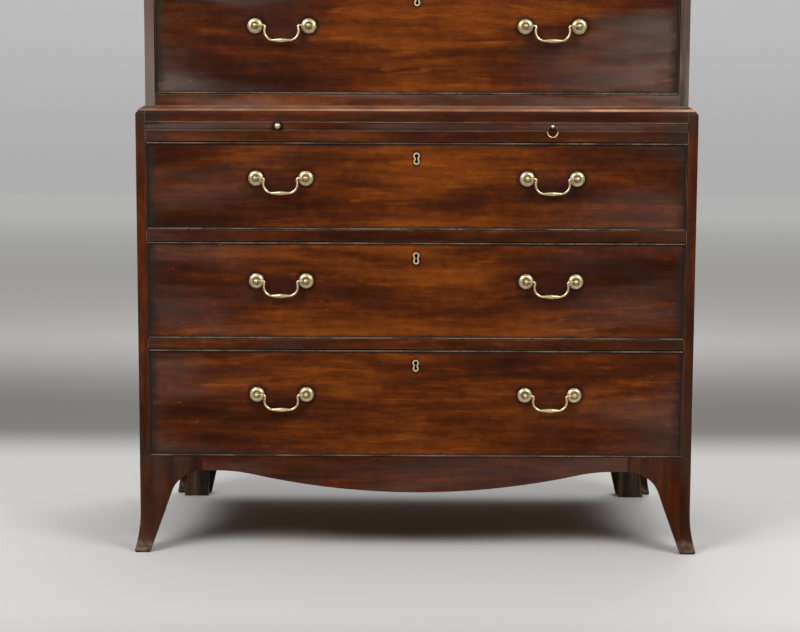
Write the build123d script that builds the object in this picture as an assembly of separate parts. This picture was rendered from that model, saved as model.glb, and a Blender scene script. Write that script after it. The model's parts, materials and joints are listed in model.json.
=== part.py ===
"""A chest on chest in mahogany: a lower case with three long drawers and a brushing slide on splay
bracket feet, and an upper case with two short and three long drawers under a plain cornice.

Lengths are in millimetres. X is the width, seen from the front, Y runs from front to back, and Z is
up from the floor. The origin is on the floor under the middle of the whole piece."""
from build123d import *
from dataclasses import dataclass
import os

# Lower and upper case
lower_width = 1100.0
lower_depth = 562.0
upper_setback = 17.0
side_board = 19.0
base_height = 194.0
rail_depth = 60.0
tenon_length = 9.0
tenon_shoulder = 4.0
tenon_setback = 14.0
bottom_board = 22.0
upper_bottom_board = 19.0
upper_top_board = 16.0
dust_board = 12.0
housing = 6.0
kicker_width = 30.0
top_kicker_height = 20.0
muntin_width = 20.0
front_board = 22.0
back_board = 10.0
back_rebate = 8.0
back_plank_gap = 0.4
back_plank_count = 5

# Drawer fronts from the floor up, and the rail above each
lower_drawer_heights = (213.0, 190.7, 170.3)
lower_rail_heights = (19.4, 21.8, 20.5)
upper_drawer_heights = (213.0, 191.0, 170.0)
short_drawer_height = 149.0
upper_rail_height = 20.0
upper_base_rail = 33.9
upper_frieze = 67.0
lower_top_rail = 19.4

# Running clearances of drawers and slide
drawer_side_gap = 1.2
drawer_bottom_gap = 1.0
drawer_top_gap = 2.2
run_clearance = 0.2
face_setback = 1.0
lift_clearance = 0.3

# Drawer construction
front_thickness = 22.0
front_lap = 9.0
drawer_back_room = 51.0
drawer_side = 10.0
drawer_back = 10.0
side_top_drop = 4.0
back_top_drop = 10.0
drawer_bottom = 7.0
bottom_raise = 8.0
bottom_groove = 4.0
tail_pitch = 42.0
tail_root_share = 0.56
tail_slope_share = 0.16
bead_thickness = 3.0
bead_depth = 8.0
bead_proud = 2.4
bead_round = 1.3
stop_length = 40.0
stop_width = 18.0
stop_height = 6.0
stop_clearance = 0.3
stop_place_share = 0.3

# Locks and keyholes
lock_width = 62.0
lock_height = 48.0
lock_depth = 11.0
bolt_width = 26.0
bolt_thickness = 4.0
bolt_height = 17.0
bolt_clearance = 0.3
bolt_travel = 7.0
mortise_spare = 1.5
keyhole_drop = 31.0
keyhole_lobe_spacing = 11.2
keyhole_top_radius = 3.8
keyhole_foot_radius = 3.3
keyhole_slot_width = 3.6
keyhole_depth = 19.0
key_pin_radius = 1.3
thread_wall = 2.6
thread_depth = 6.0
thread_proud = 0.3

# Bail handles, their roses and posts
lower_handle_offset = 266.0
upper_handle_offset = 264.0
lower_post_spacing = 98.0
upper_post_spacing = 105.0
lower_bail_drop = 28.8
upper_bail_drop = 28.6
lower_handle_heights = (123.9, 114.5, 100.3)
upper_handle_heights = (131.2, 118.0, 104.0)
short_handle_height = 70.0
pivot_stand = 12.5
rose_radius = 14.5
rose_rim = 1.4
rose_height = 5.2
rose_crown_radius = 5.0
post_neck_radius = 3.0
post_shank_radius = 2.5
shank_clearance = 0.1
post_ball_radius = 4.6
pin_radius = 1.5
pin_clearance = 0.06
pin_length = 3.4
ball_clearance = 0.4
nut_width = 11.0
nut_thickness = 3.5
bail_radius = 2.0
bail_neck_half = 31.2
bail_neck_rise = 0.7
bail_hip_half = 37.0
bail_neck_bend = 4.0
bail_hip_bend = 17.5
grip_radius = 4.4
grip_half_length = 18.0
grip_end_share = 0.9

# Brushing slide with its knob and ring
slide_thickness = 17.0
slide_gap = 0.5
slide_back_room = 81.5
slide_lip = 22.0
slide_cleat = 60.0
slide_bead_radius = 1.4
slide_quirk_place = 3.2
slide_quirk_width = 0.9
slide_quirk_depth = 0.9
knob_offset = 271.5
ring_offset = 265.0
knob_radius = 6.4
knob_neck_radius = 2.6
knob_neck_length = 5.0
knob_rim = 1.1
eye_radius = 3.6
eye_bore_radius = 2.1
eye_stand = 8.0
eye_neck_radius = 1.8
ring_radius = 10.3
ring_wire_radius = 1.2
pull_screw_length = 12.0

# Waist moulding
waist_inset = 3.8
waist_height = 12.3
waist_lip = 0.8
waist_nose_inset = 2.2
waist_nose_height = 4.4
waist_crest_inset = 11.4
waist_crest_height = 11.4
waist_hollow = 0.3
case_round_inset = 4.2
case_round_height = 9.0

# Cornice
cornice_height = 54.0
cornice_rise = 10.0
cornice_projection = 40.0
cornice_astragal = 3.5
cornice_astragal_height = 5.0
cornice_cove_depth = 20.0
cornice_cove_height = 24.0
cornice_fillet = 4.0

# Splay feet and aprons
bracket_thickness = 22.0
flare_height = 82.0
flare_reach = 12.0
toe_height = 4.0
toe_round = 3.5
toe_inset = 18.5
foot_waist_inset = 42.5
foot_waist_height = 68.0
knee_inset = 60.0
knee_drop = 47.0
knee_bend_inset = 78.0
knee_bend_drop = 20.0
foot_width = 126.0
apron_height = 29.0
arch_flat = 30.0
apron_drop = 43.0
apron_turn = 70.0
front_block = 24.0
front_block_foot = 108.0
rear_block_width = 43.0
rear_block_depth = 35.0
rear_block_foot = 1.0
rear_bracket = 17.0
rear_bracket_toe = 68.0
rear_bracket_top = 106.0

# The middle of a quarter round, as a share of its radius
round_share = 0.5 ** 0.5

# Room left around a shape by the solids that cut or trim it
overrun = 30.0

# Levels and places worked out from the sizes above
front_y = -(lower_depth + upper_setback - cornice_projection) / 2
back_y = front_y + lower_depth
half_width = lower_width / 2
inner_half = half_width - side_board
upper_front_y = front_y + upper_setback
upper_half = half_width - upper_setback
upper_inner_half = upper_half - side_board
drawer_length = lower_depth - face_setback - back_board - drawer_back_room
slide_depth = lower_depth - face_setback / 2 - back_board - slide_back_room
arch_height = base_height - apron_height
knee_bend_height = arch_height - knee_bend_drop
knee_height = arch_height - knee_drop
miter_reach = cornice_projection + 3 * overrun


def opening_levels(start, drawer_heights, rail_heights):
    """The bottom and top of each drawer opening, from the lowest up."""
    levels = []
    level = start
    for drawer_height, rail_height in zip(drawer_heights, rail_heights):
        top = level + drawer_bottom_gap + drawer_height + drawer_top_gap
        levels.append((level, top))
        level = top + rail_height
    return levels


lower_openings = opening_levels(base_height, lower_drawer_heights, lower_rail_heights)
slide_bottom = lower_openings[-1][1] + lower_rail_heights[-1]
slide_top = slide_bottom + slide_thickness + 2 * slide_gap
lower_top = slide_top + lower_top_rail
upper_heights = upper_drawer_heights + (short_drawer_height,)
upper_openings = opening_levels(
    lower_top + upper_base_rail, upper_heights, (upper_rail_height,) * len(upper_heights)
)
upper_top = upper_openings[-1][1] + upper_frieze


@dataclass
class Drawer:
    """One drawer: its opening in the case, its front and its handles."""

    name: str
    left: float
    right: float
    bottom: float
    height: float
    case_front: float
    handle_height: float
    handle_places: tuple
    post_spacing: float
    bail_drop: float

    @property
    def middle(self):
        return (self.left + self.right) / 2

    @property
    def face(self):
        return self.case_front + face_setback

    @property
    def front_bottom(self):
        return self.bottom + drawer_bottom_gap

    @property
    def front_top(self):
        return self.front_bottom + self.height

    @property
    def inner_face(self):
        return self.face + front_thickness

    @property
    def rear(self):
        return self.face + drawer_length


def make_drawers():
    """All eight drawers, from the floor up."""
    drawers = []
    places = (("left", -lower_handle_offset), ("right", lower_handle_offset))
    for name, (low, _), height, handle in zip(
        ("lower_bottom_drawer", "lower_middle_drawer", "lower_top_drawer"),
        lower_openings, lower_drawer_heights, lower_handle_heights,
    ):
        drawers.append(Drawer(name, -inner_half, inner_half, low, height, front_y, handle, places,
                              lower_post_spacing, lower_bail_drop))
    places = (("left", -upper_handle_offset), ("right", upper_handle_offset))
    for name, (low, _), height, handle in zip(
        ("upper_bottom_drawer", "upper_middle_drawer", "upper_top_drawer"),
        upper_openings, upper_drawer_heights, upper_handle_heights,
    ):
        drawers.append(Drawer(name, -upper_inner_half, upper_inner_half, low, height, upper_front_y,
                              handle, places, upper_post_spacing, upper_bail_drop))
    for name, side in (("short_left_drawer", -1), ("short_right_drawer", 1)):
        ends = sorted((side * upper_inner_half, side * muntin_width / 2))
        drawers.append(Drawer(name, ends[0], ends[1], upper_openings[-1][0], short_drawer_height,
                              upper_front_y, short_handle_height, (("middle", sum(ends) / 2),),
                              upper_post_spacing, upper_bail_drop))
    return drawers


def slab(x_span, y_span, z_span):
    """A rectangular board between two corners."""
    spans = (x_span, y_span, z_span)
    middle = [(low + high) / 2 for low, high in spans]
    size = [high - low for low, high in spans]
    return Pos(*middle) * Box(*size)


def rod(origin, direction, radius, length):
    """A round rod that starts at a point and runs along a direction."""
    plane = Plane(origin=origin, z_dir=direction)
    return plane * Cylinder(radius, length, align=(Align.CENTER, Align.CENTER, Align.MIN))


def mirrored(solid):
    """The same solid on the other side of the piece's middle plane."""
    return mirror(solid, about=Plane.YZ)


def prism(outline, plane, direction, length):
    """A flat outline set on a plane and pulled along a direction."""
    return extrude(plane * outline, amount=length, dir=direction)


def save(node, solids):
    """Write one node as separate solids in one file."""
    pieces = [solid for shape in solids for solid in shape.solids()]
    export_step(Compound(children=pieces), f"parts/{node}.step")


def miter_wedge(half, front, top):
    """The space in front of two miter planes that run through the front corners."""
    outline = Polygon(
        (-half - miter_reach, front - miter_reach),
        (half + miter_reach, front - miter_reach),
        (half - miter_reach, front + miter_reach),
        (miter_reach - half, front + miter_reach),
        align=None,
    )
    return prism(outline, Plane.XY.offset(-overrun), (0, 0, 1), top + 2 * overrun)


def three_sided(profile, half, front, back, level, height):
    """A moulding mitred round the front and two sides: its front, left and right piece.

    The profile is drawn inward from the face and up from the level."""
    wedge = miter_wedge(half, front, level + height)
    start = -half - overrun
    front_plane = Plane(origin=(start, front, level), x_dir=(0, 1, 0), z_dir=(1, 0, 0))
    front_piece = prism(profile, front_plane, (1, 0, 0), -2 * start) & wedge
    left_plane = Plane(origin=(-half, back, level), x_dir=(1, 0, 0), z_dir=(0, -1, 0))
    left_piece = prism(profile, left_plane, (0, -1, 0), back - front + overrun) - wedge
    return front_piece, left_piece, mirrored(left_piece)


def foot_band():
    """The section of a foot or apron board: straight above, and swept out more and more to the toe."""
    sweep = (flare_height ** 2 + flare_reach ** 2) / (2 * flare_reach)
    middle = (flare_height + toe_height) / 2
    flare_mid = ((sweep ** 2 - (flare_height - middle) ** 2) ** 0.5 - sweep, middle)
    toe = ((sweep ** 2 - (flare_height - toe_height) ** 2) ** 0.5 - sweep, toe_height)
    inner_toe = bracket_thickness - flare_reach
    return make_face([
        Line((0, base_height), (0, flare_height)),
        ThreePointArc((0, flare_height), flare_mid, toe),
        Line(toe, (toe_round - flare_reach, 0)),
        Line((toe_round - flare_reach, 0), (inner_toe, 0)),
        Line((inner_toe, 0), (bracket_thickness, flare_height)),
        Line((bracket_thickness, flare_height), (bracket_thickness, base_height)),
        Line((bracket_thickness, base_height), (0, base_height)),
    ])


def foot_outline():
    """The face of a bracket foot, drawn inward from the corner and up from the floor."""
    outer = -flare_reach - overrun
    return make_face([
        Line((outer, 0), (toe_inset, 0)),
        ThreePointArc((toe_inset, 0), (foot_waist_inset, foot_waist_height), (knee_inset, knee_height)),
        ThreePointArc((knee_inset, knee_height), (knee_bend_inset, knee_bend_height),
                      (foot_width, arch_height)),
        Line((foot_width, arch_height), (foot_width, base_height)),
        Line((foot_width, base_height), (outer, base_height)),
        Line((outer, base_height), (outer, 0)),
    ])


def apron_outline():
    """The front apron: flat by the feet, then a long curve down to the middle and up again."""
    end = half_width - foot_width
    flat = end - arch_flat
    turn = flat - apron_turn
    slope = 2 * apron_drop / flat
    turn_drop = slope * apron_turn / 2
    turn_mid = (flat - apron_turn / 2, arch_height - turn_drop / 4)
    long_mid = (turn / 2, arch_height - apron_drop + (apron_drop - turn_drop) / 4)
    turn_end = (turn, arch_height - turn_drop)
    lowest = (0, arch_height - apron_drop)
    return make_face([
        Line((0, base_height), (end, base_height)),
        Line((end, base_height), (end, arch_height)),
        Line((end, arch_height), (flat, arch_height)),
        ThreePointArc((flat, arch_height), turn_mid, turn_end),
        ThreePointArc(turn_end, long_mid, lowest),
        Line(lowest, (0, base_height)),
    ])


def make_base():
    """Aprons and swept bracket feet round the front and both sides."""
    front_band, left_band, _ = three_sided(foot_band(), half_width, front_y, back_y, 0, base_height)
    reach = bracket_thickness + flare_reach + 2 * overrun
    face_plane = Plane(origin=(0, front_y - overrun, 0), x_dir=(1, 0, 0), z_dir=(0, -1, 0))
    corner_plane = Plane(origin=(-half_width, front_y - overrun, 0), x_dir=(1, 0, 0), z_dir=(0, -1, 0))
    half_apron = front_band & prism(apron_outline(), face_plane, (0, 1, 0), reach)
    front_apron = half_apron + mirrored(half_apron)
    front_foot = front_band & prism(foot_outline(), corner_plane, (0, 1, 0), reach)
    side_x = -half_width - flare_reach - overrun
    fore_plane = Plane(origin=(side_x, front_y, 0), x_dir=(0, 1, 0), z_dir=(1, 0, 0))
    side_foot = left_band & prism(foot_outline(), fore_plane, (1, 0, 0), reach)
    hind_plane = Plane(origin=(side_x, back_y, 0), x_dir=(0, -1, 0), z_dir=(-1, 0, 0))
    hind_foot = left_band & prism(foot_outline(), hind_plane, (1, 0, 0), reach)
    side_apron = left_band & slab(
        (side_x, side_x + reach),
        (front_y + foot_width, back_y - foot_width),
        (arch_height, base_height),
    )
    aprons = [front_apron, side_apron, mirrored(side_apron)]
    feet = [shape for foot in (front_foot, side_foot, hind_foot) for shape in (foot, mirrored(foot))]
    return aprons, feet


def make_foot_blocks():
    """Rough blocks behind the feet, and the brackets across the back."""
    under = base_height - bottom_board
    inside = half_width - bracket_thickness
    behind_front = front_y + bracket_thickness
    front_corner = slab(
        (-inside, front_block - inside),
        (behind_front, behind_front + front_block),
        (front_block_foot, under),
    )
    toe = bracket_thickness - flare_reach * (1 - rear_block_foot / flare_height)
    rear_section = Polygon(
        (toe, rear_block_foot),
        (bracket_thickness + rear_block_width, rear_block_foot),
        (bracket_thickness + rear_block_width, under),
        (bracket_thickness, under),
        (bracket_thickness, flare_height),
        align=None,
    )
    rear_front = back_y - rear_bracket - rear_block_depth
    rear_plane = Plane(origin=(-half_width, rear_front, 0), x_dir=(1, 0, 0), z_dir=(0, -1, 0))
    rear_corner = prism(rear_section, rear_plane, (0, 1, 0), rear_block_depth)
    bracket_outline = Polygon(
        (toe, rear_block_foot),
        (rear_bracket_toe, rear_block_foot),
        (rear_bracket_top, arch_height),
        (rear_bracket_top, under),
        (bracket_thickness, under),
        (bracket_thickness, flare_height),
        align=None,
    )
    bracket_plane = Plane(origin=(-half_width, back_y - rear_bracket, 0), x_dir=(1, 0, 0), z_dir=(0, -1, 0))
    rear_piece = prism(bracket_outline, bracket_plane, (0, 1, 0), rear_bracket)
    return [block for piece in (front_corner, rear_corner, rear_piece) for block in (piece, mirrored(piece))]


def make_rail(inner, front, level, height, depth):
    """A rail across the front, with a stub tenon at each end."""
    body = slab((-inner, inner), (front, front + depth), (level, level + height))
    tenon = slab(
        (-inner - tenon_length, inner + tenon_length),
        (front + tenon_setback, front + depth - tenon_shoulder),
        (level + tenon_shoulder, level + height - tenon_shoulder),
    )
    return body + tenon


def bolt_mortise(drawer):
    """The pocket above a drawer that its lock bolt rises into."""
    middle_y = drawer.inner_face - lock_depth / 2
    half_x = bolt_width / 2 + mortise_spare
    half_y = bolt_thickness / 2 + mortise_spare
    return slab(
        (drawer.middle - half_x, drawer.middle + half_x),
        (middle_y - half_y, middle_y + half_y),
        (drawer.front_top, drawer.front_top + bolt_travel + mortise_spare),
    )


def make_rails(inner, front, spans, top_span, top_depth, drawers):
    """The front rails of one case, with a mortise over every lock bolt."""
    rails = [make_rail(inner, front, low, high - low, rail_depth) for low, high in spans]
    rails.append(make_rail(inner, front, top_span[0], top_span[1] - top_span[0], top_depth))
    mortises = [bolt_mortise(drawer) for drawer in drawers]
    return [rail - mortises for rail in rails]


def make_dust_boards(inner, front, spans):
    """A dust board behind each rail, with a kicker under both of its ends."""
    y_span = (front + rail_depth, back_y - back_board)
    boards = []
    for low, high in spans:
        board_low = high - dust_board
        boards.append(slab((-inner - housing, inner + housing), y_span, (board_low, high)))
        kicker = slab((-inner, kicker_width - inner), y_span, (low, board_low))
        boards += [kicker, mirrored(kicker)]
    return boards


def make_stops(drawer):
    """Two blocks that the back of a drawer front closes against."""
    start = drawer.inner_face + stop_clearance
    spread = (drawer.right - drawer.left) * stop_place_share
    return [
        slab(
            (drawer.middle + side * spread - stop_length / 2, drawer.middle + side * spread + stop_length / 2),
            (start, start + stop_width),
            (drawer.bottom, drawer.bottom + stop_height),
        )
        for side in (-1, 1)
    ]


def make_back_planks(inner, bottom, top):
    """Upright planks in the rebates of the case sides."""
    half = inner + back_rebate
    pitch = 2 * half / back_plank_count
    return [
        slab(
            (-half + index * pitch + back_plank_gap / 2, -half + (index + 1) * pitch - back_plank_gap / 2),
            (back_y - back_board, back_y),
            (bottom, top),
        )
        for index in range(back_plank_count)
    ]


def make_side(inner, front, bottom, top, housed):
    """The left and right side of a case, rebated for its back and cut for what it holds."""
    board = slab((-inner - side_board, -inner), (front, back_y), (bottom, top))
    rebate = slab((-inner - back_rebate, overrun - inner), (back_y - back_board, back_y + overrun),
                  (bottom - overrun, top + overrun))
    left = board - rebate - housed
    return [left, mirrored(left)]


def top_round():
    """What the rounding of the lower case's top edge takes off."""
    turn = (case_round_inset * (1 - round_share), case_round_height * round_share)
    top = (case_round_inset, case_round_height)
    height = case_round_height + overrun
    profile = make_face([
        ThreePointArc((0, 0), turn, top),
        Line(top, (case_round_inset, height)),
        Line((case_round_inset, height), (-overrun, height)),
        Line((-overrun, height), (-overrun, 0)),
        Line((-overrun, 0), (0, 0)),
    ])
    level = lower_top - case_round_height
    return list(three_sided(profile, half_width, front_y, back_y + overrun, level, height))


def make_waist_moulding():
    """The moulding that holds the upper case in place."""
    inner = upper_setback - lift_clearance - waist_inset
    lip = (0, waist_lip)
    nose = (waist_nose_inset, waist_nose_height)
    nose_mid = (
        waist_nose_inset * (1 - round_share),
        waist_lip + (waist_nose_height - waist_lip) * round_share,
    )
    crest = (waist_crest_inset, waist_crest_height)
    ramp_mid = ((nose[0] + crest[0] + waist_hollow) / 2, (nose[1] + crest[1]) / 2 - waist_hollow)
    profile = make_face([
        Line((0, 0), lip),
        ThreePointArc(lip, nose_mid, nose),
        ThreePointArc(nose, ramp_mid, crest),
        Line(crest, (inner, waist_height)),
        Line((inner, waist_height), (inner, 0)),
        Line((inner, 0), (0, 0)),
    ])
    half = half_width - waist_inset
    return three_sided(profile, half, front_y + waist_inset, back_y, lower_top, waist_height)


def make_cornice():
    """A plain cornice: astragal, cove, fillet and ovolo."""
    level = upper_top + cornice_rise - cornice_height
    outer = cornice_projection
    cove_start = (outer - cornice_astragal, cornice_astragal_height)
    cove_end = (cove_start[0] - cornice_cove_depth, cove_start[1] + cornice_cove_height)
    cove_mid = (
        cove_start[0] - cornice_cove_depth * (1 - round_share),
        cove_start[1] + cornice_cove_height * round_share,
    )
    ovolo_start = (cove_end[0] - cornice_fillet, cove_end[1] + cornice_fillet)
    ovolo_radius = ovolo_start[0]
    ovolo_end = (0, ovolo_start[1] + ovolo_radius)
    ovolo_mid = (ovolo_radius * (1 - round_share), ovolo_start[1] + ovolo_radius * (1 - round_share))
    profile = make_face([
        Line((outer, 0), (cove_start[0], 0)),
        Line((cove_start[0], 0), cove_start),
        ThreePointArc(cove_start, cove_mid, cove_end),
        Line(cove_end, (cove_end[0], ovolo_start[1])),
        Line((cove_end[0], ovolo_start[1]), ovolo_start),
        ThreePointArc(ovolo_start, ovolo_mid, ovolo_end),
        Line(ovolo_end, (0, cornice_height)),
        Line((0, cornice_height), (outer, cornice_height)),
        Line((outer, cornice_height), (outer, 0)),
    ])
    half = upper_half + cornice_projection
    return three_sided(profile, half, upper_front_y - cornice_projection, back_y, level, cornice_height)


def side_outline(drawer, low, high):
    """A drawer side with dovetails at both ends, drawn in depth and height."""
    front_root = drawer.inner_face
    front_tip = drawer.face + front_lap
    rear_root = drawer.rear - drawer_back
    count = max(2, round((high - low) / tail_pitch))
    pitch = (high - low) / count
    root = pitch * tail_root_share / 2
    front_flare = (front_root - front_tip) * tail_slope_share
    rear_flare = drawer_back * tail_slope_share
    front_edge = []
    rear_edge = []
    for index in range(count):
        centre = low + (index + 1 / 2) * pitch
        front_edge += [
            (front_root, centre - root),
            (front_tip, centre - root - front_flare),
            (front_tip, centre + root + front_flare),
            (front_root, centre + root),
        ]
        rear_edge += [
            (rear_root, centre - root),
            (drawer.rear, centre - root - rear_flare),
            (drawer.rear, centre + root + rear_flare),
            (rear_root, centre + root),
        ]
    corners = [(front_root, low)] + front_edge + [(front_root, high), (rear_root, high)]
    return Polygon(*corners, *reversed(rear_edge), (rear_root, low), align=None)


def make_box(drawer):
    """The sides, back and bottom of a drawer."""
    left = drawer.left + drawer_side_gap
    right = drawer.right - drawer_side_gap
    low = drawer.bottom + run_clearance
    high = drawer.front_top - side_top_drop
    outline = side_outline(drawer, low, high)
    bottom_low = low + bottom_raise
    bottom_high = bottom_low + drawer_bottom
    bottom = slab(
        (left + drawer_side - bottom_groove, right - drawer_side + bottom_groove),
        (drawer.inner_face - bottom_groove, drawer.rear),
        (bottom_low, bottom_high),
    )
    left_side = prism(outline, Plane.YZ.offset(left), (1, 0, 0), drawer_side) - bottom
    right_side = prism(outline, Plane.YZ.offset(right), (-1, 0, 0), drawer_side) - bottom
    back = slab((left, right), (drawer.rear - drawer_back, drawer.rear), (bottom_high, high - back_top_drop))
    return left_side, right_side, back - left_side - right_side, bottom


def bead_strip(drawer, along_top):
    """One pair of cockbeads round the edge of a drawer front, mitred at the corners."""
    left = drawer.left + drawer_side_gap
    right = drawer.right - drawer_side_gap
    low = drawer.front_bottom
    high = drawer.front_top
    inner = bead_thickness
    if along_top:
        first = ((left, high), (right, high), (right - inner, high - inner), (left + inner, high - inner))
        second = ((left, low), (right, low), (right - inner, low + inner), (left + inner, low + inner))
    else:
        first = ((left, low), (left, high), (left + inner, high - inner), (left + inner, low + inner))
        second = ((right, low), (right, high), (right - inner, high - inner), (right - inner, low + inner))
    plane = Plane(origin=(0, drawer.face - bead_proud, 0), x_dir=(1, 0, 0), z_dir=(0, -1, 0))
    along = Axis.X if along_top else Axis.Z
    strips = []
    for corners in (first, second):
        strip = prism(Polygon(*corners, align=None), plane, (0, 1, 0), bead_proud + bead_depth)
        edges = strip.edges().filter_by(along).group_by(Axis.Y)[0]
        strips.append((strip, fillet(edges, bead_round)))
    return strips


def keyhole_outline(wall):
    """A keyhole: a round head, a narrow slot and a rounded foot, grown by a wall."""
    head = Pos(0, keyhole_lobe_spacing / 2) * Circle(keyhole_top_radius + wall)
    foot = Pos(0, -keyhole_lobe_spacing / 2) * Circle(keyhole_foot_radius + wall)
    return head + Rectangle(keyhole_slot_width + 2 * wall, keyhole_lobe_spacing) + foot


def keyhole(drawer, wall, start, depth):
    """A keyhole-shaped prism that starts behind a drawer's face and runs in."""
    origin = (drawer.middle, drawer.face + start, drawer.front_top - keyhole_drop)
    plane = Plane(origin=origin, x_dir=(1, 0, 0), z_dir=(0, -1, 0))
    return prism(keyhole_outline(wall), plane, (0, 1, 0), depth)


def lock_case(drawer, grow):
    """The block that the lock fills at the top of a drawer front."""
    half = lock_width / 2 + grow
    return slab(
        (drawer.middle - half, drawer.middle + half),
        (drawer.inner_face - lock_depth - grow, drawer.inner_face),
        (drawer.front_top - lock_height - grow, drawer.front_top),
    )


def bolt_block(drawer, grow):
    """The lock bolt, or the channel it slides in."""
    half_x = bolt_width / 2 + grow
    half_y = bolt_thickness / 2 + grow
    middle_y = drawer.inner_face - lock_depth / 2
    top = drawer.front_top if grow else drawer.front_top - bolt_clearance
    return slab(
        (drawer.middle - half_x, drawer.middle + half_x),
        (middle_y - half_y, middle_y + half_y),
        (drawer.front_top - bolt_height - grow, top),
    )


def post_places(drawer):
    """The middle of each post of a drawer's handles, on its face."""
    level = drawer.front_bottom + drawer.handle_height
    return [
        (middle + side * drawer.post_spacing / 2, drawer.face, level)
        for _, middle in drawer.handle_places
        for side in (-1, 1)
    ]


def make_front(drawer, sides, bottom):
    """A drawer front with its four cockbeads."""
    board = slab(
        (drawer.left + drawer_side_gap, drawer.right - drawer_side_gap),
        (drawer.face, drawer.inner_face),
        (drawer.front_bottom, drawer.front_top),
    )
    beads = bead_strip(drawer, True) + bead_strip(drawer, False)
    holes = [
        rod((x, y - overrun, z), (0, 1, 0), post_shank_radius + shank_clearance, front_thickness + 2 * overrun)
        for x, y, z in post_places(drawer)
    ]
    cuts = [square for square, _ in beads] + holes + [
        lock_case(drawer, 0),
        keyhole(drawer, thread_wall, -overrun, thread_depth + overrun),
        keyhole(drawer, 0, 0, front_thickness),
        bottom,
        *sides,
    ]
    return [board - cuts] + [rounded for _, rounded in beads]


def make_rose(place):
    """A round domed plate under a handle post."""
    bore = post_shank_radius + shank_clearance
    dome_mid = (
        rose_crown_radius + (rose_radius - rose_crown_radius) * round_share,
        rose_rim + (rose_height - rose_rim) * round_share,
    )
    profile = make_face([
        Line((bore, 0), (rose_radius, 0)),
        Line((rose_radius, 0), (rose_radius, rose_rim)),
        ThreePointArc((rose_radius, rose_rim), dome_mid, (rose_crown_radius, rose_height)),
        Line((rose_crown_radius, rose_height), (bore, rose_height)),
        Line((bore, rose_height), (bore, 0)),
    ])
    turned = revolve(Plane.XZ * profile, axis=Axis.Z)
    return Plane(origin=place, z_dir=(0, -1, 0)) * turned


def make_post(place):
    """A handle post: a shank through the drawer front, a neck and a bored ball."""
    x, y, z = place
    back = front_thickness + nut_thickness + shank_clearance
    shank = rod((x, y + back, z), (0, -1, 0), post_shank_radius, back + rose_height)
    neck = rod((x, y - rose_height, z), (0, -1, 0), post_neck_radius, pivot_stand - rose_height)
    ball = Pos(x, y - pivot_stand, z) * Sphere(post_ball_radius)
    bore = rod((x - overrun, y - pivot_stand, z), (1, 0, 0), pin_radius + pin_clearance, 2 * overrun)
    return shank + neck + ball - bore


def make_nut(place):
    """A square nut on the inside of a drawer front."""
    x, y, z = place
    half = nut_width / 2
    inside = y + front_thickness
    block = slab((x - half, x + half), (inside, inside + nut_thickness), (z - half, z + half))
    return block - rod((x, y, z), (0, 1, 0), post_shank_radius + shank_clearance, front_thickness + overrun)


def make_lock(drawer):
    """A lock with the channel of its bolt and a pin for the key."""
    case = lock_case(drawer, 0) - bolt_block(drawer, bolt_clearance)
    case -= keyhole(drawer, 0, 0, keyhole_depth)
    level = drawer.front_top - keyhole_drop + keyhole_lobe_spacing / 2
    pin = rod((drawer.middle, drawer.inner_face, level), (0, -1, 0), key_pin_radius, lock_depth)
    return case + pin


def make_fittings(drawer):
    """The brass of one drawer: key thread, lock, roses, posts and nuts."""
    whole = keyhole(drawer, thread_wall, -thread_proud, thread_depth + thread_proud)
    thread = whole - keyhole(drawer, 0, -overrun, 2 * overrun)
    places = post_places(drawer)
    roses = [make_rose(place) for place in places]
    posts = [make_post(place) for place in places]
    nuts = [make_nut(place) for place in places]
    return [thread, make_lock(drawer)] + roses + posts + nuts


def make_bail(spacing, drop):
    """A swan-neck bail that hangs from the origin, with a swelling in the middle of its grip."""
    start = spacing / 2 - post_ball_radius - ball_clearance
    path = FilletPolyline(
        (start, 0, 0), (bail_neck_half, 0, bail_neck_rise), (bail_hip_half, 0, -drop),
        (-bail_hip_half, 0, -drop), (-bail_neck_half, 0, bail_neck_rise), (-start, 0, 0),
        radius=[bail_neck_bend, bail_hip_bend, bail_hip_bend, bail_neck_bend],
    )
    section = Plane(origin=path @ 0, z_dir=path % 0) * Circle(bail_radius)
    wire = sweep(section, path=path)
    grip_profile = make_face([
        Line((-grip_half_length, 0), (grip_half_length, 0)),
        Line((grip_half_length, 0), (grip_half_length, bail_radius * grip_end_share)),
        ThreePointArc((grip_half_length, bail_radius * grip_end_share), (0, grip_radius),
                      (-grip_half_length, bail_radius * grip_end_share)),
        Line((-grip_half_length, bail_radius * grip_end_share), (-grip_half_length, 0)),
    ])
    grip = Pos(0, 0, -drop) * revolve(grip_profile, axis=Axis.X)
    pin_start = start - pin_radius
    pins = [
        rod((side * pin_start, 0, 0), (side, 0, 0), pin_radius, spacing / 2 + pin_length - pin_start)
        for side in (-1, 1)
    ]
    return wire + grip + pins


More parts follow.
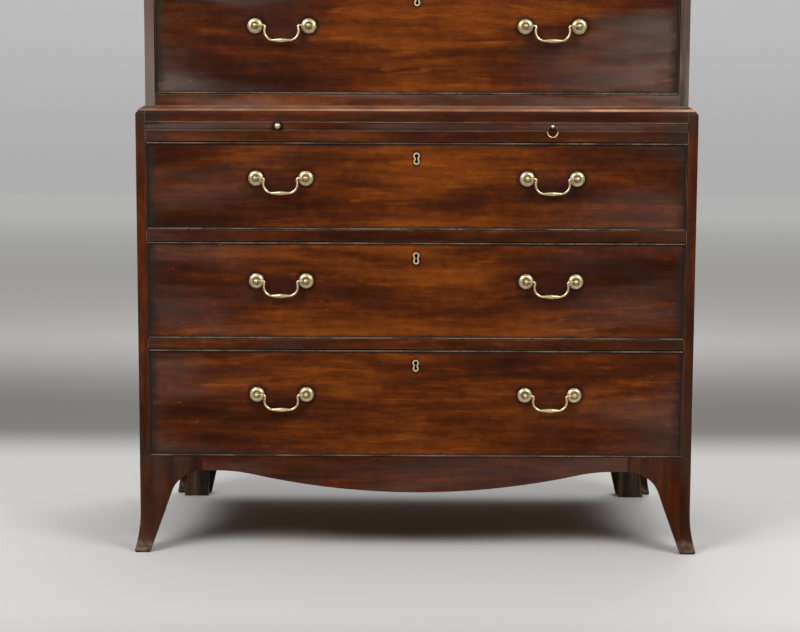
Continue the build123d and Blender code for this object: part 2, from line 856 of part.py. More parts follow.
def make_slide():
    """The brushing slide: a panel with two cleats and a front lip with a fine bead on both edges."""
    half = inner_half - drawer_side_gap
    low = slide_bottom + slide_gap
    high = low + slide_thickness
    face = front_y + face_setback / 2
    lip_back = face + slide_lip
    lip = slab((-half, half), (face, lip_back), (low, high))
    quirks = [
        slab(
            (-half - overrun, half + overrun),
            (face - overrun, face + slide_quirk_depth),
            (place - slide_quirk_width / 2, place + slide_quirk_width / 2),
        )
        for place in (low + slide_quirk_place, high - slide_quirk_place)
    ]
    holes = [
        rod((place, face - overrun, slide_pull_level()), (0, 1, 0),
            eye_neck_radius + shank_clearance, pull_screw_length + shank_clearance + overrun)
        for place in (-knob_offset, ring_offset)
    ]
    edges = lip.edges().filter_by(Axis.X).group_by(Axis.Y)[0]
    lip = fillet(edges, slide_bead_radius) - quirks - holes
    back = face + slide_depth
    cleat = slab((-half, slide_cleat - half), (lip_back, back), (low, high))
    panel = slab((slide_cleat - half, half - slide_cleat), (lip_back, back), (low, high))
    return [lip, cleat, mirrored(cleat), panel]


def slide_pull_level():
    return slide_bottom + slide_gap + slide_thickness / 2


def make_slide_pulls():
    """The turned knob and the eye that carries the ring, each on a screw."""
    face = front_y + face_setback / 2
    level = slide_pull_level()
    knob_place = (-knob_offset, face, level)
    dome = knob_neck_length + knob_rim
    dome_mid = (knob_radius * round_share, dome + knob_radius * round_share)
    crown = (0, dome + knob_radius)
    profile = make_face([
        Line((0, 0), (knob_neck_radius, 0)),
        Line((knob_neck_radius, 0), (knob_neck_radius, knob_neck_length)),
        Line((knob_neck_radius, knob_neck_length), (knob_radius, dome)),
        ThreePointArc((knob_radius, dome), dome_mid, crown),
        Line(crown, (0, 0)),
    ])
    knob = Plane(origin=knob_place, z_dir=(0, -1, 0)) * revolve(Plane.XZ * profile, axis=Axis.Z)
    knob += rod((-knob_offset, face - knob_neck_length, level), (0, 1, 0), eye_neck_radius,
                knob_neck_length + pull_screw_length)
    neck = rod((ring_offset, face + pull_screw_length, level), (0, -1, 0), eye_neck_radius,
               pull_screw_length + eye_stand)
    eye = Pos(ring_offset, face - eye_stand, level) * Sphere(eye_radius)
    bore = rod((ring_offset - overrun, face - eye_stand, level), (1, 0, 0), eye_bore_radius, 2 * overrun)
    return [knob, neck + eye - bore]


def make_slide_ring():
    """The drop ring, hung in its eye."""
    face = front_y + face_setback / 2
    centre = (ring_offset, face - eye_stand, slide_pull_level() - ring_radius)
    return Plane(origin=centre, z_dir=(0, 1, 0)) * Torus(ring_radius, ring_wire_radius)


def make_lower_case(drawers):
    """Every fixed piece of the lower case above its base."""
    rail_spans = [
        (opening[1], opening[1] + height) for opening, height in zip(lower_openings, lower_rail_heights)
    ]
    rails = make_rails(inner_half, front_y, rail_spans, (slide_top, lower_top), rail_depth, drawers)
    boards = make_dust_boards(inner_half, front_y, rail_spans)
    inside = half_width - bracket_thickness
    bottom = slab((-inside, inside), (front_y + bracket_thickness, back_y), (base_height - bottom_board, base_height))
    top = slab((-inner_half - housing, inner_half + housing), (front_y + rail_depth, back_y - back_board),
               (slide_top, lower_top))
    stops = [stop for drawer in drawers for stop in make_stops(drawer)]
    planks = make_back_planks(inner_half, base_height, lower_top)
    sides = make_side(inner_half, front_y, base_height, lower_top, rails + boards + [top])
    rounding = top_round()
    sides = [side - rounding for side in sides]
    rails[-1] -= rounding
    return sides, rails, boards + [bottom, top] + stops + planks


def make_upper_case(drawers):
    """Every fixed piece of the upper case below its cornice."""
    front = upper_front_y
    inner = upper_inner_half
    rail_spans = [(top, top + upper_rail_height) for _, top in upper_openings[:-1]]
    base_span = (lower_top, upper_openings[0][0])
    top_low = upper_openings[-1][1]
    rails = make_rails(inner, front, [base_span] + rail_spans, (top_low, upper_top), front_board, drawers)
    muntin_span = (-muntin_width / 2, muntin_width / 2)
    rails.append(slab(muntin_span, (front, front + rail_depth), upper_openings[-1]))
    boards = make_dust_boards(inner, front, rail_spans)
    y_span = (front + rail_depth, back_y - back_board)
    bottom = slab((-inner - housing, inner + housing), y_span,
                  (upper_openings[0][0] - upper_bottom_board, upper_openings[0][0]))
    top = slab((-inner - housing, inner + housing), (front + front_board, back_y - back_board),
               (upper_top - upper_top_board, upper_top))
    partition = slab(muntin_span, y_span, upper_openings[-1])
    kicker_span = (top_low, top_low + top_kicker_height)
    outer_kicker = slab((-inner, kicker_width - inner), (front + front_board, back_y - back_board), kicker_span)
    middle_kicker = slab((-kicker_width, kicker_width), (front + front_board, back_y - back_board), kicker_span)
    stops = [stop for drawer in drawers for stop in make_stops(drawer)]
    planks = make_back_planks(inner, lower_top, upper_top)
    sides = make_side(inner, front, lower_top, upper_top, rails[:-1] + boards + [bottom, top])
    pine = boards + [bottom, top, partition, outer_kicker, mirrored(outer_kicker), middle_kicker]
    return sides, rails, pine + stops + planks


def build():
    """Make every node and write it to its file."""
    os.makedirs("parts", exist_ok=True)
    drawers = make_drawers()
    lower_drawers = [drawer for drawer in drawers if drawer.case_front == front_y]
    upper_drawers = [drawer for drawer in drawers if drawer.case_front == upper_front_y]

    aprons, feet = make_base()
    save("base_aprons", aprons)
    save("splay_feet", feet)
    save("foot_blocks", make_foot_blocks())

    sides, rails, boards = make_lower_case(lower_drawers)
    save("lower_case_sides", sides)
    save("lower_case_rails", rails)
    save("lower_dust_and_back_boards", boards)
    save("waist_moulding", make_waist_moulding())

    sides, rails, boards = make_upper_case(upper_drawers)
    save("upper_case_sides", sides)
    save("upper_case_rails", rails)
    save("upper_dust_and_back_boards", boards)
    save("cornice", make_cornice())

    save("slide_board", make_slide())
    save("slide_pulls", make_slide_pulls())
    save("slide_ring", [make_slide_ring()])

    for drawer in drawers:
        left_side, right_side, back, bottom = make_box(drawer)
        save(f"{drawer.name}_front", make_front(drawer, (left_side, right_side), bottom))
        save(f"{drawer.name}_box", [left_side, right_side, back, bottom])
        save(f"{drawer.name}_fittings", make_fittings(drawer))
        save(f"{drawer.name}_bolt", [bolt_block(drawer, 0)])
        bail = make_bail(drawer.post_spacing, drawer.bail_drop)
        level = drawer.front_bottom + drawer.handle_height
        for place, middle in drawer.handle_places:
            hung = Pos(middle, drawer.face - pivot_stand, level) * bail
            save(f"{drawer.name}_bail_{place}", [hung])


build()
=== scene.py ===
"""The finish of a mahogany chest on chest, dressed around its packed construction.

Laid out as an add-on whose panel has a button for each group of pieces. Lengths are in metres, X is
the width, Y runs from front to back and Z is up."""

import json
import math
import random

import bmesh
import bpy
from bpy.props import FloatProperty, FloatVectorProperty, PointerProperty
from mathutils import Euler, Matrix, Vector


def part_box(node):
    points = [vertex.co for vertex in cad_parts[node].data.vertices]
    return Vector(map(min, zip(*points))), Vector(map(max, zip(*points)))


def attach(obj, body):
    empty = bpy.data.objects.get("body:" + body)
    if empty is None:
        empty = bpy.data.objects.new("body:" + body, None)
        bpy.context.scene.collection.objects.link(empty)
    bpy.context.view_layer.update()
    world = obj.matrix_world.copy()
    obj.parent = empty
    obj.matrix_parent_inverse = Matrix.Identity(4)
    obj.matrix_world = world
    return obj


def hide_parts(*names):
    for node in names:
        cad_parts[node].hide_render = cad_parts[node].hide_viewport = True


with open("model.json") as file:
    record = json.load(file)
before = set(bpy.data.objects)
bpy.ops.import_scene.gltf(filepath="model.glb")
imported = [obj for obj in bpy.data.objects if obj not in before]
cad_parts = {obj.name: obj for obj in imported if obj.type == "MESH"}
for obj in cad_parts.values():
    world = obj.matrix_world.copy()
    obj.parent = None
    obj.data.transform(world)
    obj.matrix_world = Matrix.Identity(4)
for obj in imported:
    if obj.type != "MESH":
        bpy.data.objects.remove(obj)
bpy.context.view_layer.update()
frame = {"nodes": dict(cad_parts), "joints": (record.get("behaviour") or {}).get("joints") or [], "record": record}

bl_info = {
    "name": "Chest on chest",
    "version": (1, 0, 0),
    "blender": (4, 5, 0),
    "location": "View3D > Sidebar > Chest",
    "description": "Dresses the construction of a mahogany chest on chest",
    "category": "Object",
}

MM = 0.001
# Faces that turn by less than this are joined into one flat face
FLAT_TURN = math.radians(0.1)
# A board that is narrower than this is a bead
BEAD_WIDTH = 12 * MM
# A board whose middle is further back than the start gets the tone of the back
BACK_START = 0.1
BACK_TONE = -0.1
DRAWERS = (
    "lower_bottom_drawer", "lower_middle_drawer", "lower_top_drawer",
    "upper_bottom_drawer", "upper_middle_drawer", "upper_top_drawer",
    "short_left_drawer", "short_right_drawer",
)
# Drawer fronts that are darker than the others
FRONT_TONES = {"lower_bottom_drawer": -0.008, "lower_middle_drawer": -0.015, "upper_bottom_drawer": -0.025}
# Plain timbers: how the names of their colours begin, and the strength of their stains
TIMBERS = {"bare oak": ("oak", 0.35), "aged pine": ("pine", 0.5), "rough foot block": ("block", 0.3)}
# Where each lamp hangs, and its size
LAMPS = {
    "left": ((-2.0, -2.3, 2.9), (1.6, 1.6)),
    "right": ((2.2, -2.2, 2.9), (1.6, 1.6)),
    "back": ((0.6, 2.0, 4.0), (2.4, 1.6)),
}
LAMP_AIM = Vector((0, 0, 0.7))
BODY_OF = {node: body for body, nodes in frame["record"]["behaviour"]["bodies"].items() for node in nodes}
PIVOT_OF = {joint["child"]: Vector(joint["pos_m"]) for joint in frame["joints"]
            if joint["type"] == "hinge"}


def shade(red, green, blue):
    """A colour as it is read off a picture, from 0 to 255, in Blender's linear light."""
    return tuple(((part / 255 + 0.055) / 1.055) ** 2.4 if part > 10 else part / 255 / 12.92
                 for part in (red, green, blue))


def colour(name, description, seen):
    return FloatVectorProperty(name=name, description=description, default=shade(*seen), size=3,
                               subtype="COLOR", min=0, max=1)


def number(name, description, default, **kind):
    return FloatProperty(name=name, description=description, default=default, **kind)


def length(name, description, default):
    return number(name, description, default, min=0, unit="LENGTH", precision=5)


def share(name, description, default):
    return number(name, description, default, min=0, max=1, subtype="FACTOR")


class WoodSettings(bpy.types.PropertyGroup):
    """Colours and surface of the timber."""

    dark: colour("Dark mahogany", "Darkest stripes of the polished mahogany", (46, 19, 7))
    middle: colour("Mahogany", "Ground colour of the polished mahogany", (86, 37, 9))
    light: colour("Light mahogany", "Bright figure of the polished mahogany", (140, 72, 20))
    # Grime also paints the contact shadow where the feet meet the floor
    grime: colour("Grime", "Old polish and dirt along edges", (36, 35, 32))
    # Grey veil that stands partly for perished polish and partly for a painted sheen of the lamps
    bloom: colour("Bloom", "Grey haze of perished polish", (122, 112, 105))
    # Also paints, in part, the highlights on the bead crests and on the edges of the slide and the waist moulding
    worn: colour("Worn edge", "Mahogany rubbed bare along an edge", (158, 136, 114))
    # Painted highlight over rubbed wood along the waist moulding's nose and top edge
    rubbed: colour("Rubbed moulding", "Mahogany rubbed bright along the waist", (206, 150, 112))
    # Also paints, in part, the shadow under each bail, and darkens the slide round its knob and inside its ring
    stain: colour("Stain", "Dark stain round the handles", (34, 15, 14))
    raw: colour("Raw mahogany", "Unpolished back of a drawer front", (118, 74, 48))
    oak_dark: colour("Dark oak", "Dark grain of the drawer linings", (108, 78, 46))
    oak_light: colour("Light oak", "Light grain of the drawer linings", (172, 136, 88))
    pine_dark: colour("Dark pine", "Dark grain of the back and dust boards", (78, 54, 34))
    pine_light: colour("Light pine", "Light grain of the back and dust boards", (140, 104, 66))
    block_dark: colour("Dark block", "Stained side of the foot blocks", (26, 20, 16))
    block_light: colour("Light block", "Bare patches of the foot blocks", (104, 80, 54))
    softness: length("Edge softness", "Width of the rounding on a worn edge", 0.6 * MM)
    grime_width: length("Grime width", "How far grime reaches in from a drawer front's edge", 11 * MM)
    sway: length("Grain sway", "How far the grain wanders across a board", 34 * MM)
    gloss: share("Roughness", "Roughness of the polish", 0.36)


class MetalSettings(bpy.types.PropertyGroup):
    """Colours of the brass and iron."""

    bright: colour("Bright brass", "Rubbed brass", (244, 226, 180))
    dull: colour("Dull brass", "Tarnished brass", (196, 176, 116))
    # The olive also paints the shade on the locks behind the keyholes
    olive: colour("Brass grime", "Dirt in the hollows of the brass", (66, 54, 20))
    inlaid: colour("Inlaid brass", "The key threads", (238, 214, 176))
    iron: colour("Iron", "Lock bolts", (112, 106, 98))


class HandleSettings(bpy.types.PropertyGroup):
    """Sizes of roses, posts and bails."""

    rose_radius: length("Rose radius", "Radius of a handle's round plate", 14.5 * MM)
    rose_rim: length("Rose rim", "Thickness of a rose at its edge", 1.4 * MM)
    rose_height: length("Rose height", "How far a rose stands out", 5.0 * MM)
    crown_radius: length("Rose crown", "Radius where the dome turns into its hollow", 8.0 * MM)
    hollow: length("Rose hollow", "Depth of the hollow round the post", 1.7 * MM)
    ball_radius: length("Ball", "Radius of a post's ball", 4.6 * MM)
    neck_radius: length("Post neck", "Radius of a post's neck", 2.7 * MM)
    shank_radius: length("Post shank", "Radius of a post inside the drawer front", 2.5 * MM)
    stand: length("Pivot stand", "How far the bail's pivot stands out from the drawer front", 12.5 * MM)
    front_thickness: length("Drawer front", "Thickness of a drawer front", 22 * MM)
    nut_thickness: length("Nut", "Thickness of a post's nut", 3.5 * MM)
    wire: length("Bail wire", "Radius of a bail", 2.2 * MM)
    grip: length("Grip", "Radius of a bail in the middle of its grip", 4.4 * MM)
    grip_half: length("Grip half length", "Half the length of a bail's grip", 18 * MM)
    pin: length("Pin", "Radius of a bail's pin inside its ball", 1.5 * MM)
    pin_length: length("Pin length", "How far a pin runs past the middle of its ball", 3.4 * MM)
    neck_half: length("Neck half width", "From a bail's middle to its upper turn", 31.2 * MM)
    neck_rise: length("Neck rise", "How far a bail rises to its upper turn", 0.7 * MM)
    hip_half: length("Hip half width", "From a bail's middle to its lower turn", 37 * MM)
    neck_bend: length("Neck bend", "Radius of a bail's upper turn", 4 * MM)
    hip_bend: length("Hip bend", "Radius of a bail's lower turn", 17.5 * MM)
    key_drop: length("Key drop", "From a drawer front's top to the middle of its keyhole", 31 * MM)


class StageSettings(bpy.types.PropertyGroup):
    """Camera, floor and light."""

    camera: FloatVectorProperty(name="Camera", description="Place of the camera", size=3,
                                default=(-0.0206, -3.1234, 0.7483), subtype="TRANSLATION", unit="LENGTH")
    pitch: number("Pitch", "How far the camera looks down", math.radians(5.442), subtype="ANGLE")
    yaw: number("Yaw", "How far the camera turns to the left", math.radians(0.217), subtype="ANGLE")
    roll: number("Roll", "How far the camera tilts", math.radians(0.19), subtype="ANGLE")
    lens: number("Lens", "Focal length in millimetres", 65.25)
    floor_size: length("Floor", "Side of the square floor", 120.0)
    near: colour("Near floor", "Floor around the chest", (199, 198, 196))
    # Painted shade: a darker band where a sheet would turn up into a backdrop
    fold_shade: colour("Fold", "Where the floor seems to turn up into a backdrop", (122, 120, 117))
    # Painted light: past the band, and most at its farthest, the floor is paler to make up for the lamps' fall-off
    far: colour("Far floor", "Floor past the fold", (198, 197, 195))
    sky: colour("Farthest floor", "Floor where it meets the backdrop", (235, 235, 234))
    backdrop: colour("Backdrop", "What is seen just past the floor", (174, 174, 174))
    backdrop_high: colour("High backdrop", "What is seen higher up", (190, 190, 190))
    ceiling: share("Ceiling light", "Strength of the light from above", 0.9)
    walls: share("Wall light", "Strength of the light from all round", 0.03)
    left: number("Left lamp", "Power of the left lamp", 84.0, unit="POWER")
    right: number("Right lamp", "Power of the right lamp", 71.0, unit="POWER")
    back: number("Back lamp", "Power of the lamp behind", 72.0, unit="POWER")


class ChestSettings(bpy.types.PropertyGroup):
    """All settings of the chest."""

    wood: PointerProperty(type=WoodSettings, name="Wood", description="Timber")
    metal: PointerProperty(type=MetalSettings, name="Metal", description="Brass and iron")
    handle: PointerProperty(type=HandleSettings, name="Handles", description="Handles")
    stage: PointerProperty(type=StageSettings, name="Stage", description="Camera, floor and light")


class Value:
    """A socket that Python's own operators work on."""

    def __init__(self, net, socket):
        self.net = net
        self.socket = socket

    def maths(self, operation, *others):
        inputs = dict(enumerate((self, *others)))
        return self.net.node("ShaderNodeMath", inputs, operation=operation)

    def output(self, name):
        """Another output of the node that this value comes from."""
        return Value(self.net, self.socket.node.outputs[name])

    def __add__(self, other):
        return self.maths("ADD", other)

    def __sub__(self, other):
        return self.maths("SUBTRACT", other)

    def __mul__(self, other):
        return self.maths("MULTIPLY", other)

    def __truediv__(self, other):
        return self.maths("DIVIDE", other)

    def __pow__(self, other):
        return self.maths("POWER", other)

    def __rsub__(self, other):
        return self.net.node("ShaderNodeMath", {0: other, 1: self}, operation="SUBTRACT")

    def __abs__(self):
        return self.maths("ABSOLUTE")

    __radd__ = __add__

    def least(self, other):
        return self.maths("MINIMUM", other)

    def most(self, other):
        return self.maths("MAXIMUM", other)

    def smooth(self, low, high):
        """From 0 at the low end to 1 at the high end, with soft turns."""
        return self.net.node("ShaderNodeMapRange", {"Value": self, "From Min": low, "From Max": high},
                             interpolation_type="SMOOTHSTEP")

    def within(self, low, high):
        """From 1 at the low end to 0 at the high end."""
        return 1 - self.smooth(low, high)


class Net:
    """A node tree that is filled by calls."""

    def __init__(self, tree):
        self.tree = tree

    def node(self, kind, inputs=None, output=0, **settings):
        made = self.tree.nodes.new(kind)
        for key, setting in settings.items():
            setattr(made, key, setting)
        for key, value in (inputs or {}).items():
            if isinstance(value, Value):
                self.tree.links.new(value.socket, made.inputs[key])
            else:
                made.inputs[key].default_value = value
        return Value(self, made.outputs[output]) if made.outputs else made

    def split(self, vector):
        first = self.node("ShaderNodeSeparateXYZ", {0: vector})
        return first, first.output("Y"), first.output("Z")

    def join(self, x, y, z):
        return self.node("ShaderNodeCombineXYZ", {"X": x, "Y": y, "Z": z})

    def mix(self, factor, first, second):
        """The first colour where the factor is 0, the second where it is 1.

        The node's colours go in at its sockets 6 and 7 and come out at 2."""
        tints = {6: first, 7: second}
        full = {key: tint if isinstance(tint, Value) else (*tint, 1) for key, tint in tints.items()}
        return self.node("ShaderNodeMix", {0: factor, **full}, 2, data_type="RGBA")


class Finish(Net):
    """A material and the nodes of its colour, gloss and relief."""

    def __init__(self, name):
        self.material = bpy.data.materials.new(name)
        self.material.use_nodes = True
        super().__init__(self.material.node_tree)
        self.tree.nodes.clear()

    def attribute(self, name, output="Fac"):
        return self.node("ShaderNodeAttribute", output=output, attribute_name=name)

    def object_place(self):
        return self.node("ShaderNodeTexCoord", output="Object")

    def shifted(self, first, second):
        return self.node("ShaderNodeVectorMath", {0: first, 1: second}, operation="ADD")

    def noise(self, place, stretch, detail):
        """Noise whose marks are as many to the metre as the stretch says, along each axis."""
        spread = self.node("ShaderNodeVectorMath", {0: place, 1: stretch}, operation="MULTIPLY")
        return self.node("ShaderNodeTexNoise", {"Vector": spread, "Scale": 1.0, "Detail": detail})

    def surface(self, tint, roughness, height=None, relief=0.0, **constants):
        """Ends the material in a shader. Relief is the height's reach in metres."""
        inputs = {"Base Color": tint, "Roughness": roughness}
        inputs.update({name.replace("_", " "): value for name, value in constants.items()})
        if height is not None:
            inputs["Normal"] = self.node("ShaderNodeBump", {"Height": height, "Distance": relief})
        shader = self.node("ShaderNodeBsdfPrincipled", inputs)
        self.node("ShaderNodeOutputMaterial", {"Surface": shader})
        return self.material


class Board:
    """What every wooden finish reads of its board: places along, across and through it."""

    def __init__(self, finish, sway):
        self.finish = finish
        self.place = finish.attribute("board_place", "Vector")
        self.half = finish.attribute("board_half", "Vector")
        self.seed = finish.attribute("board_seed")
        self.along, self.across, self.through = finish.split(self.place)
        self.half_along, self.half_across, self.half_through = finish.split(self.half)
        drift = finish.join(self.seed * 17.3, self.seed * 9.1, self.seed * 5.3)
        self.straight = finish.shifted(self.place, drift)
        wander = (self.noise(1.3, 4.0, 1.0) - 0.5) * sway
        ripple = (self.noise(5.0, 9.0, 1.0) - 0.5) * sway * 0.3
        self.grain = finish.shifted(self.straight, finish.join(0.0, wander + ripple, wander + ripple))

    def noise(self, along, across, detail, through=None):
        """Marks that lie straight on the board, as many to the metre along, across and through it."""
        return self.finish.noise(self.straight, (along, across, through or across), detail)

    def grained(self, along, across, detail):
        """Marks that sway with the grain."""
        return self.finish.noise(self.grain, (along, across, across), detail)


finishes = {}


def finish_named(name):
    """The material of that name, made when it is first asked for."""
    if name not in finishes:
        finishes[name] = MAKERS[name](name, bpy.context.scene.chest)
    return finishes[name]


def mahogany_figure(finish, board, wood, lift):
    """The polished mahogany's colour and its fine relief. The lift makes it lighter, or darker if below 0."""
    broad = board.grained(2.2, 11.0, 2.0)
    flame = board.grained(7.0, 55.0, 2.0)
    stripe = board.grained(14.0, 200.0, 3.0)
    thread = board.grained(70.0, 800.0, 2.0)
    mottle = board.noise(48.0, 60.0, 4.0)
    figure = broad * 0.43 + flame * 0.25 + stripe * 0.09 + thread * 0.11 + mottle * 0.12 + lift
    ground = finish.mix(figure.smooth(0.34, 0.54), wood.dark, wood.middle)
    streak = board.grained(8.0, 95.0, 1.0)
    ribbon = (streak + stripe * 0.15).smooth(0.66, 0.86) * figure.smooth(0.44, 0.54)
    glow = figure.smooth(0.46, 0.7)
    tint = finish.mix((glow + ribbon * 0.5).least(1.0), ground, wood.light)
    pores = board.grained(75.0, 2300.0, 0.0).smooth(0.6, 0.74)
    return tint, pores, mottle


def grime_at_edges(finish, board, width):
    """Grime that reaches in from a board's edges, further at its ends."""
    to_end = (board.half_along - abs(board.along)) * 0.45
    to_edge = board.half_across - abs(board.across)
    wobble = (board.noise(30.0, 60.0, 3.0) - 0.5) * width * 1.2
    return (to_end.least(to_edge) + wobble).within(0.1 * width, width)


def make_polished(name, settings, darkened=(), front=0.0):
    """Sides, rails, feet and mouldings: darker than the drawer fronts, grimy at their ends and hazy there with
    perished polish and a painted sheen, with a painted highlight along the waist moulding and a painted shadow
    where the feet meet the floor.

    Each darkened place has its X, its height and its reach. Round it the front is nearly black."""
    wood = settings.wood
    finish = Finish(name)
    board = Board(finish, wood.sway)
    lift = (board.seed - 0.5) * 0.03 - 0.05 + finish.attribute("tone")
    tint, pores, mottle = mahogany_figure(finish, board, wood, lift)
    cloud = board.noise(9.0, 26.0, 3.0)
    from_end = board.half_along - abs(board.along)
    ends = (from_end + (cloud - 0.5) * 0.12).within(0.004, 0.07)
    soot = (ends * (1 - finish.attribute("clean"))).most(cloud.smooth(0.56, 0.8))
    tint = finish.mix(soot * 0.6, tint, wood.grime)
    x, y, level = finish.split(finish.object_place())
    # Painted sheen, partly perished polish: a grey veil, strongest on front faces and towards the ends of boards,
    # where the lamps' reflection falls
    bloom = finish.attribute("bloom") * (0.25 + y.within(-0.24, -0.14) * 0.75)
    haze = (board.noise(4.0, 30.0, 4.0) + bloom * 0.25).smooth(0.4, 0.72)
    haze = haze * bloom * from_end.within(0.05, 0.4).most(0.6)
    tint = finish.mix(haze, tint, wood.bloom)
    # Rubbed edges turn paler. On the slide's lip and the waist moulding, the paler colour is also a painted
    # highlight
    wear_and_highlight = finish.attribute("edge_wear")
    patches = board.noise(22.0, 60.0, 3.0).smooth(0.38, 0.62)
    tint = finish.mix(wear_and_highlight.least(1.0) * (0.4 + patches * 0.6) * 0.5, tint, wood.worn)
    # Painted highlight: past a worn value of 1, the waist moulding's nose and top edge turn bright, most towards
    # its right end, where the light catches it
    bright = board.noise(5.0, 5.0, 5.0).smooth(0.4, 0.64)
    bright = bright * (0.2 + board.along.smooth(-0.4, 0.05) * 0.8)
    tint = finish.mix((wear_and_highlight - 1.0).most(0.0) * (0.08 + bright * 0.92), tint, wood.rubbed)
    chafed = board.noise(70.0, 70.0, 4.0, 110.0).smooth(0.42, 0.62)
    toe = (level + (cloud - 0.5) * (40 * MM)).within(10 * MM, 32 * MM)
    tint = finish.mix(toe * (0.25 + chafed * 0.75) * 0.5, tint, wood.worn)
    # Painted shadow: the lowest few millimetres, which only the feet reach, turn almost to the grime colour where
    # they meet the floor
    tint = finish.mix(level.within(2 * MM, 6 * MM) * 0.8, tint, wood.grime)
    # Round each given place, the front face turns nearly black
    for middle, height, reach in darkened:
        away = ((x - middle) ** 2.0 + (level - height) ** 2.0) ** 0.5 + (cloud - 0.5) * (6 * MM)
        stain = away.within(reach * 0.6, reach) * (y - front).within(1 * MM, 3 * MM)
        tint = finish.mix(stain * 0.8, tint, wood.stain)
    roughness = wood.gloss + mottle * 0.12 + soot * 0.16 + haze * 0.12
    return finish.surface(tint, roughness, 1 - pores, 0.05 * MM, Specular_IOR_Level=0.07)


def make_darkened(name, settings):
    """The brushing slide, darker round its knob and inside its ring."""
    low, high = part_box("slide_ring")
    knob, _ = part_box("slide_pulls")
    level = high.z - 2 * MM
    return make_polished(name, settings, (
        (knob.x + 6 * MM, level, 15 * MM),
        ((low.x + high.x) / 2, (low.z + high.z) / 2, 13 * MM),
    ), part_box("slide_board")[0].y)


def make_figured(name, settings):
    """Drawer fronts: figured in the middle, dark at the edges and round the brass; under each bail the darkening
    is partly a painted shadow, and towards the ends a grey veil is partly a painted sheen.
    """
    wood = settings.wood
    handle = settings.handle
    finish = Finish(name)
    board = Board(finish, wood.sway)
    off_centre = abs(board.along) / board.half_along
    lift = (0.42 - off_centre) * 0.12 + (board.seed - 0.5) * 0.03 + finish.attribute("tone")
    tint, pores, mottle = mahogany_figure(finish, board, wood, lift)
    bead = finish.attribute("bead")
    grime = grime_at_edges(finish, board, wood.grime_width) * (1 - bead)
    side, level, key_level = finish.split(finish.attribute("handle_place", "Vector"))
    offset, spread, drop = finish.split(finish.attribute("handle_reach", "Vector"))
    from_handle = abs(abs(side) - offset)
    to_post = ((from_handle - spread) ** 2.0 + level ** 2.0) ** 0.5
    wobble = (board.noise(70.0, 70.0, 2.0) - 0.5) * (8 * MM)
    halo = (to_post + wobble).within(handle.rose_radius, handle.rose_radius * 1.8)
    # Partly painted shadow: between the posts, under each bail, the front is darker, both as old polish that the
    # cleaning missed and as the bail's shadow
    inside = (from_handle + wobble).within(45 * MM, 62 * MM)
    inside = inside * (abs(level + drop * 0.55) + wobble).within(drop * 0.5, drop * 0.95)
    to_key = (side ** 2.0 + (key_level * 0.6) ** 2.0) ** 0.5
    key_halo = (to_key + wobble * 0.5).within(8 * MM, 12 * MM)
    stain_and_shadow_round_handles = (halo * 0.8).most(inside * 0.5).most(key_halo * 0.6)
    # Painted sheen, partly perished polish: a grey veil towards the ends of each front
    haze = board.noise(3.0, 12.0, 3.0).smooth(0.4, 0.66)
    haze = haze * off_centre.smooth(0.3, 1.0) * finish.attribute("bloom")
    tint = finish.mix(haze, tint, wood.bloom)
    tint = finish.mix(stain_and_shadow_round_handles, tint, wood.stain)
    tint = finish.mix(grime * 0.85, tint, wood.grime)
    scuff = board.noise(85.0, 190.0, 3.0).smooth(0.75, 0.79)
    tint = finish.mix(scuff * 0.5, tint, wood.worn)
    # Partly painted highlight: the crests of the long beads are paler, both as rubbed wood and as the light that
    # they catch
    crest_worn_and_lit = finish.attribute("front_depth").within(0.3 * MM, 1.1 * MM) * bead
    rubbed = board.noise(14.0, 14.0, 4.0).smooth(0.38, 0.6)
    nicks = board.noise(110.0, 9.0, 2.0).smooth(0.36, 0.5)
    level_bead = board.half_along.smooth(0.13, 0.2)
    tint = finish.mix(bead * 0.7, tint, wood.grime)
    tint = finish.mix(crest_worn_and_lit * (0.5 + nicks * 0.5) * (0.12 + rubbed * 0.4) * (0.06 + level_bead * 0.94),
                      tint, wood.worn)
    behind = (board.through + board.half_through).smooth(9 * MM, 10 * MM) * (1 - bead)
    tint = finish.mix(behind, tint, wood.raw)
    roughness = wood.gloss + mottle * 0.1 + grime * 0.16 + stain_and_shadow_round_handles * 0.08 + behind * 0.3
    return finish.surface(tint, roughness, 1 - pores, 0.05 * MM, Specular_IOR_Level=0.07)


def make_plain(name, settings):
    """Unpolished timber with clear lines of growth, stained dark in blotches."""
    timber, stain = TIMBERS[name]
    dark, light = [getattr(settings.wood, f"{timber}_{end}") for end in ("dark", "light")]
    finish = Finish(name)
    board = Board(finish, settings.wood.sway)
    rings = board.grained(1.2, 46.0, 3.0)
    lines = board.grained(9.0, 420.0, 2.0)
    fibre = board.grained(60.0, 1900.0, 1.0)
    figure = rings * 0.5 + lines * 0.32 + fibre * 0.18 + (board.seed - 0.5) * 0.16
    tint = finish.mix(figure.smooth(0.38, 0.62), dark, light)
    blotch = board.noise(7.0, 9.0, 4.0).smooth(0.5, 0.72)
    tint = finish.mix(blotch * stain, tint, dark)
    return finish.surface(tint, 0.72 + blotch * 0.15, figure, 0.25 * MM, Specular_IOR_Level=0.25)


